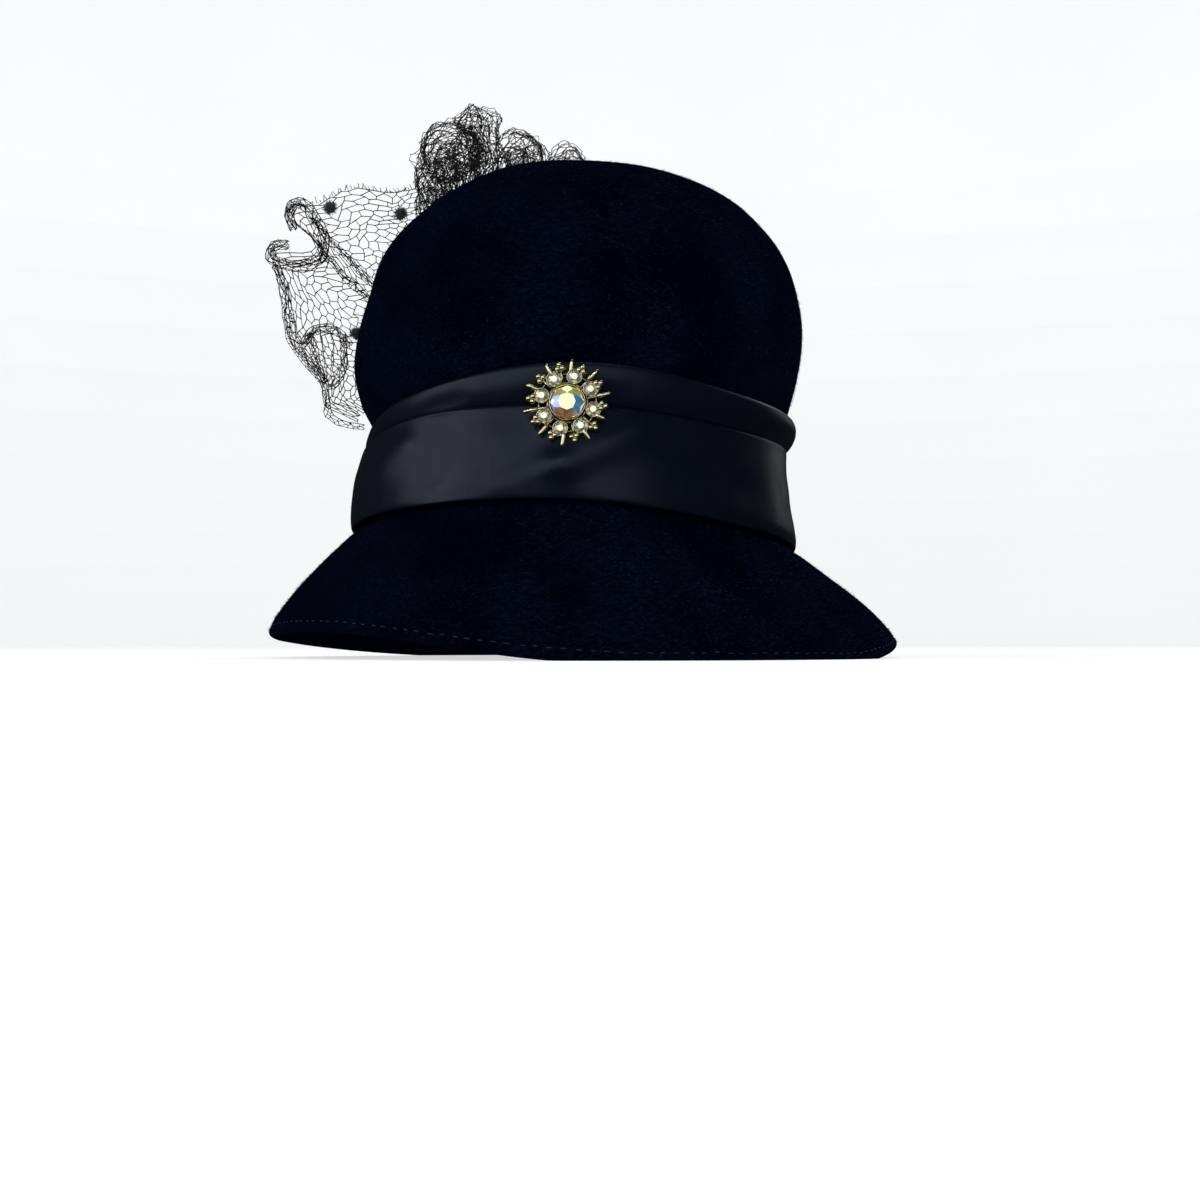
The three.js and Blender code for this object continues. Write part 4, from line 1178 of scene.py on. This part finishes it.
def path_at(rows, share):
    """Places on the smooth line through (x, y, z) points, at shares of the way from first to last."""
    keys = np.array(rows, float)
    return np.stack([read_row(keys[:, axis], share * (len(keys) - 1)) for axis in range(3)], -1)


def path_length(rows):
    """The length of the smooth line, measured over 59 short chords."""
    return np.linalg.norm(np.diff(path_at(rows, np.linspace(0, 1, 60)), axis=0), axis=1).sum()


def bundle(shape, rows, count, spread, seed):
    """Several threads drawn together along a smooth line, each wandering a little from it."""
    path = path_at(rows, np.linspace(0, 1, max(6, int(path_length(rows) / BUNDLE_STEP))))
    number = np.arange(len(path))
    edges = np.stack([number[:-1], number[1:]], -1)
    for k in range(count):
        wander = np.stack([noise_field(path, 8, seed + 3 * k + axis, 3) for axis in range(3)], -1)
        threads(shape, path + wander * spread, edges, STRAND_RADIUS)


def rolled_net(shape, rows, radius, seed):
    """A net rolled into a loose tube about a smooth line, as a cut edge of veiling curls up. The tube is
    narrower at its two ends, by half a sine wave along it."""

    def surface(a, b):
        along = unit(path_at(rows, np.clip(a + 0.01, 0, 1)) - path_at(rows, np.clip(a - 0.01, 0, 1)))
        side = unit(np.cross(along, [0, 1, 0]))
        up = np.cross(side, along)
        wide = radius * (0.7 + 0.3 * np.sin(np.pi * a))[..., None]
        around = side * np.cos(TAU * b)[..., None] + up * np.sin(TAU * b)[..., None]
        return path_at(rows, a) + wide * around

    counts = (int(path_length(rows) / ROLL_CELL) // 2 * 2, max(4, int(TAU * radius / ROLL_CELL)))
    hexagon_net(shape, surface, counts, seed, STRAND_RADIUS, STRAND_KNOT, 0.26, 0.45)


# The lines along which the fan's net is rolled or drawn together, as (x, y, z) in millimetres. First its
# curled edge: the upper curl, the notch and the lower curl
FAN_CURL = (
    (-111.0, -9, 167.3),
    (-113.0, -11, 172.4),
    (-110.3, -12, 176.3),
    (-105.6, -11, 175.5),
    (-102.8, -8, 170.1),
    (-100.5, -4, 163.0),
    (-102.4, -2, 157.6),
    (-107.9, -4, 154.4),
    (-114.1, -9, 153.3),
    (-119.0, -12, 155.2),
    (-118.1, -13, 159.6),
    (-112.6, -11, 160.3),
)
# The free edge, from the lower curl down to the fold
FAN_SIDE = (
    (-117.7, -12, 152.9),
    (-114.9, -9, 143.5),
    (-113.8, -6, 133.7),
    (-112.2, -5, 124.7),
    (-107.5, -2, 116.9),
    (-100.9, 0, 109.1),
)
# The fold that the lower part hangs from, and the gathers that hang from it
FAN_FOLD = (
    (-108.5, -6, 122.0),
    (-104.0, -7, 127.0),
    (-99.0, -7, 128.8),
    (-93.8, -5, 127.1),
    (-90.3, -2, 123.0),
)
FAN_HANGS = (
    ((-105.0, -7, 126.0), (-103.0, -5, 117.0), (-100.3, 1, 108.5)),
    ((-101.5, -7, 128.0), (-99.5, -5, 118.0), (-99.6, 1, 108.5)),
    ((-97.0, -7, 128.0), (-96.0, -4, 117.0), (-99.0, 1, 108.5)),
    ((-92.5, -5, 125.5), (-92.5, -2, 115.0), (-98.0, 2, 106.5)),
)
# The lowest edge, from the gathers back to the crown
FAN_PANEL = (
    (-100.1, 2, 109.9),
    (-100.7, 3, 102.5),
    (-99.6, 4, 97.0),
    (-93.8, 6, 93.1),
    (-86.4, 9, 91.9),
)
# Two ridges of doubled net, from the curl back to the root
FAN_RIDGES = (
    ((-104.0, -8, 171.0), (-97.0, 2, 163.8), (-89.2, 14, 156.8), (-79.5, 30, 147.5)),
    ((-101.0, -3, 159.0), (-94.0, 8, 153.0), (-87.0, 20, 147.0), (-81.0, 30, 141.0)),
)


# How far the net goes on past the fan's upper end, and where it takes the corner, to meet the ruffle
FAN_REACH = 0.09
FAN_CORNER = np.array([12.5, 8.0, 4.5])
CUT_THREADS = 46
# Each line's roll of net, with radius and seed, and its threads, with their number, spread and seed
FAN_ROLLS = ((FAN_CURL, 2.4, 201), (FAN_SIDE, 2.1, 203), (FAN_FOLD, 1.9, 205), (FAN_PANEL, 1.5, 207))
FAN_BUNDLES = ((FAN_CURL, 4, 0.9, 211), (FAN_SIDE, 3, 1.0, 217), (FAN_FOLD, 4, 1.3, 223))


def veil_fan():
    """The fan of net, with its free edge curled back, its folds drawn together and its root gathered."""
    shape = Shape()

    def spread_net(a, b):
        along = mix(-FAN_REACH, 1, a)
        beyond = np.maximum(-along, 0) / FAN_REACH * b
        return fan_point(np.maximum(along, 0), b) + beyond[..., None] * FAN_CORNER

    hexagon_net(shape, spread_net, (60, 19), 31, FAN_STRAND, FAN_KNOT, 0.2, 0.6)
    # Cut threads stand out of the upper edge
    start = spread_net(np.linspace(0.01, 0.33, CUT_THREADS), np.ones(CUT_THREADS))
    stray = np.random.default_rng(32).normal(size=start.shape) * [0.9, 0.6, 0.5]
    number = np.arange(CUT_THREADS)
    edges = np.stack([number, number + CUT_THREADS], -1)
    threads(shape, np.concatenate([start, start + stray + [-0.3, 0, 1.5]]), edges, CUT_STRAND)
    for rows, radius, seed in FAN_ROLLS:
        rolled_net(shape, rows, radius, seed)
    for rows, count, spread, seed in FAN_BUNDLES:
        bundle(shape, rows, count, spread, seed)
    # The net is gathered on a thread where it is sewn to the felt
    root = fan_point(np.linspace(0.02, 0.98, 9), np.full(9, 0.015))
    rolled_net(shape, root, 1.0, 291)
    bundle(shape, root, 3, 0.7, 293)
    for number, hang in enumerate(FAN_HANGS):
        if number % 3 == 0:
            rolled_net(shape, hang, 1.5, 251 + number)
        bundle(shape, hang, 2, 1.0, 261 + 9 * number)
    for number, ridge in enumerate(FAN_RIDGES):
        rolled_net(shape, ridge, 1.3, 231 + number)
        bundle(shape, ridge, 2, 0.7, 237 + 9 * number)
    return piece("fan_net", shape, NET, ["veil_fan"])


# How far behind the hat's middle the ruffle's poufs stand
RUFFLE_DEEP = 23.0
# Each pouf's middle as x and z, its radius, and the sizes of the nets nested in it, as shares of the radius
POUFS = (
    (-52.0, 203.0, 13.2, (1.0, 0.62)),
    (-44.0, 216.0, 7.6, (1.0,)),
    (-59.0, 188.5, 9.5, (1.0,)),
    (-35.0, 201.0, 10.0, (1.0,)),
    (-23.5, 204.0, 9.6, (1.0, 0.62)),
    (-5.5, 200.5, 7.6, (1.0, 0.6)),
    (-54.7, 200.0, 4.6, (1.0,)),
)
# Arcs of threads drawn together round the poufs: middle as x and z, radius, threads, and the arc's two ends
RUFFLE_ARCS = (
    (-51.8, 205.7, 11.6, 9, -40, 300),
    (-51.0, 204.0, 9.6, 4, 60, 420),
    (-44.5, 206.5, 7.6, 4, -150, 120),
    (-45.3, 218.7, 5.2, 5, -30, 240),
    (-40.6, 217.6, 5.8, 3, -60, 150),
    (-57.5, 193.5, 8.4, 6, 90, 270),
    (-24.5, 204.5, 9.2, 7, -10, 140),
    (-5.2, 200.8, 6.8, 4, 10, 170),
)


def above_felt(points):
    """Which points lie clear above the crown."""
    return points[:, 2] > crown_top_at(points[:, 0], points[:, 1]) + 0.4


def veil_ruffle():
    """The ruffle: the looped strip of net, and the crumpled poufs it is bunched into at each loop. A pouf
    is one or two nested egg-shaped nets, round above and drawn down to a narrow foot on the felt below."""
    shape = Shape()

    def loose_strip(a, b):
        # Three waves along the strip move it back and forth by up to 7 mm
        point = ruffle_point(a, b)
        point[..., 1] += 4 * np.sin(37 * a) * (b - 0.5) + 3 * np.sin(23 * a) + 2 * np.sin(71 * a + 4 * b)
        return point

    hexagon_net(shape, loose_strip, (130, 8), 41, STRIP_STRAND, STRIP_KNOT, 0.24, 1.7, above_felt)
    for number, (x, z, radius, count, start, stop) in enumerate(RUFFLE_ARCS):
        angles = np.radians(np.linspace(start, stop, 9))
        deep = 17 + 3 * np.sin(2 * angles + number)
        rows = np.stack([x + radius * np.cos(angles), deep, z + radius * np.sin(angles)], -1)
        bundle(shape, rows, count, 1.7, 300 + 40 * number)
    for number, (x, z, radius, layers) in enumerate(POUFS):
        felt = crown_top_at(np.array([x]), np.array([RUFFLE_DEEP]))[0]
        for layer, share in enumerate(layers):
            size = radius * share
            drop = max(size, share * (z - felt + 1))

            def pouf(a, b, x=x, z=z, size=size, drop=drop):
                turn, tilt = TAU * a, np.pi * b
                ring = np.sin(tilt) * (1 + 0.12 * np.sin(3 * turn + number))
                high = ring * np.sin(turn)
                gathered = mix(1, 0.5, smoothstep(-high, 0.2, 1.0))
                side = x + size * ring * np.cos(turn) * gathered
                deep = RUFFLE_DEEP + 0.85 * size * np.cos(tilt)
                return np.stack([side, deep, z + high * np.where(high > 0, size, drop)], -1)

            counts = (int(TAU * size / 2.1) // 2 * 2, max(6, int(math.pi * size / 2.6)))
            seed = 60 + 10 * number + layer
            hexagon_net(shape, pouf, counts, seed, STRAND_RADIUS, POUF_KNOT, 0.26, 1.7, above_felt)
    return piece("ruffle_net", shape, NET, ["veil_ruffle"])


DOTS = 5
DOT_HAIRS = 240
DOT_RADIUS = 2.15
DOT_POLE = np.array([0, 0, 2.1])
DOT_LUMPS = 0.35
DOT_HAIR_ROOT = 1.2
DOT_HAIR_LENGTHS = (1.2, 2.2)
DOT_HAIR_RADIUS = 0.09


def chenille_dots():
    """Cut chenille: a lumpy core with short stiff hairs out of it in all directions, caught in the net."""
    random = np.random.default_rng(77)
    number = np.arange(DOT_HAIRS)
    for k in range(DOTS):
        name = f"veil_dot_{k + 1}"
        centre = np.mean(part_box(name), axis=0) / MM
        shape = Shape()
        rings = globe([-66, -44, -22, 0, 22, 44, 66], 14)
        rings = rings * (DOT_RADIUS + DOT_LUMPS * noise_field(rings * 10, 9, 60 + k)[..., None])
        shape.add(*closed_skin(centre + rings, [centre - DOT_POLE, centre + DOT_POLE]))
        ways = unit(random.normal(size=(DOT_HAIRS, 3)))
        root = centre + ways * DOT_HAIR_ROOT
        stray = unit(ways + 0.35 * random.normal(size=ways.shape))
        tip = root + stray * random.uniform(*DOT_HAIR_LENGTHS, (DOT_HAIRS, 1))
        edges = np.stack([number, number + DOT_HAIRS], -1)
        threads(shape, np.concatenate([root, tip]), edges, DOT_HAIR_RADIUS)
        piece(f"chenille_dot_{k + 1}", shape, CHENILLE, [name])


def shifted(make):
    """Makes a piece by formulas with the crown's middle at x = 0, and brings it to the CAD's origin."""
    made = make()
    moved = np.zeros(len(made.data.vertices) * 3, np.float32)
    made.data.vertices.foreach_get("co", moved)
    moved = moved.reshape(-1, 3) + (HAT_SHIFT * MM).astype(np.float32)
    made.data.vertices.foreach_set("co", moved.ravel())
    made.data.update()
    return made


shifted(felt_crown)
shifted(felt_brim)
shifted(hem_stitches)
band = shifted(satin_band)
fan = shifted(veil_fan)
ruffle = shifted(veil_ruffle)
brooch_setting()
stones()
chenille_dots()

# The pin's shape is right in the CAD, so it keeps its node and gets the brooch's metal
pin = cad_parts["brooch_pin"]
pin.data.materials.clear()
pin.data.materials.append(GILT)


# Room, light and camera


def studio_finish(name, code):
    """Matt white paper: no shine, with the faintest mottle, and lit so that it shows plain white."""
    made, tree = finish(name)
    where = add(tree, "ShaderNodeTexCoord").outputs["Object"]
    mottle = add(tree, "ShaderNodeTexNoise", {"Vector": where, "Scale": 2.0})
    colour = add(
        tree, "ShaderNodeMix", {0: mottle, 6: linear(code), 7: linear("#bebebc")}, data_type="RGBA"
    )
    shade(
        tree,
        Base_Color=colour.outputs[2],
        Roughness=0.9,
        Specular_IOR_Level=0.0,
        Emission_Color=linear("#fbfcff"),
        Emission_Strength=0.64,
    )
    return made


def floor():
    """A wide round sheet of paper that curves up all round, far behind whichever way the camera looks."""
    sides, flat, curve, top = 96, 2.4, 1.2, 3.2
    sweep = np.linspace(0.1, np.pi / 2, 14)
    radii = np.concatenate([np.linspace(0.02, flat, 12), flat + curve * np.sin(sweep), [flat + curve]])
    heights = np.concatenate([np.zeros(12), curve * (1 - np.cos(sweep)), [top]])
    points = circle(sides) * radii[:, None, None] + np.array([0, 0, 1]) * heights[:, None, None]
    points = np.concatenate([points.reshape(-1, 3), [[0, 0, 0]]])
    quads = ring_faces(len(radii), sides, False)
    c = np.arange(sides)
    fan_in = np.stack([np.full(sides, len(points) - 1), c, (c + 1) % sides], -1)
    mesh = bpy.data.meshes.new("studio_floor")
    mesh.from_pydata(points.tolist(), [], quads.tolist() + fan_in.tolist())
    mesh.materials.append(studio_finish("lit_white_paper", "#b4b4b2"))
    made = bpy.data.objects.new("studio_floor", mesh)
    bpy.context.scene.collection.objects.link(made)
    made.visible_glossy = False


def area_light(name, place, aim, size, power):
    """A soft box, of a width and height in metres, turned to face a point."""
    data = bpy.data.lights.new(name, "AREA")
    data.shape, data.size, data.size_y, data.energy = "RECTANGLE", *size, power
    made = bpy.data.objects.new(name, data)
    made.location = place
    made.visible_camera = False
    toward = unit(np.array(aim, float) - np.array(place, float))
    made.rotation_euler = (math.acos(-toward[2]), 0, math.atan2(toward[1], toward[0]) - math.pi / 2)
    bpy.context.scene.collection.objects.link(made)


floor()
# Place, the point it faces, width and height in metres, and watts. The two panels reach from the left round
# to a little right of the camera, so the satin shines at its left and middle and stays dark at its right
area_light("panel_left", (-1.3, -0.72, 0.4), (0, 0, 0.1), (2.1, 1.2), 13)
area_light("panel_front", (0.2, -1.5, 0.4), (0.2, 0, 0.1), (1.7, 1.1), 6.5)
area_light("spark_front", (-0.35, -1.2, 0.8), (0, 0, 0.09), (0.14, 0.14), 1.2)
area_light("fill_right", (0.9, 1.2, 0.5), (0, 0, 0.1), (0.5, 0.5), 0.3)
area_light("top", (0.1, 0.2, 1.6), (0, 0, 0.1), (1.0, 1.0), 7)
area_light("rim_back_right", (0.9, 1.1, 1.1), (0, 0, 0.12), (0.8, 0.8), 2)

world = bpy.data.worlds.new("studio_white")
world.use_nodes = True
world.node_tree.nodes["Background"].inputs["Color"].default_value = linear("#f6f8fb")
world.node_tree.nodes["Background"].inputs["Strength"].default_value = 0.02
bpy.context.scene.world = world
bpy.context.scene.view_settings.view_transform = "Standard"

# The camera is 5.5 mm above the floor and 0.5 m in front of the brim, and looks up by 1.55 degrees
camera_data = bpy.data.cameras.new("camera")
camera_data.lens, camera_data.sensor_width = 48, 36
camera_data.clip_start, camera_data.clip_end = 0.004, 30
camera = bpy.data.objects.new("camera", camera_data)
camera.location = (0.0065, -0.630, 0.0055)
camera.rotation_euler = (math.radians(90 + 1.55), 0, 0)
bpy.context.scene.collection.objects.link(camera)
bpy.context.scene.camera = camera

bpy.context.view_layer.update()
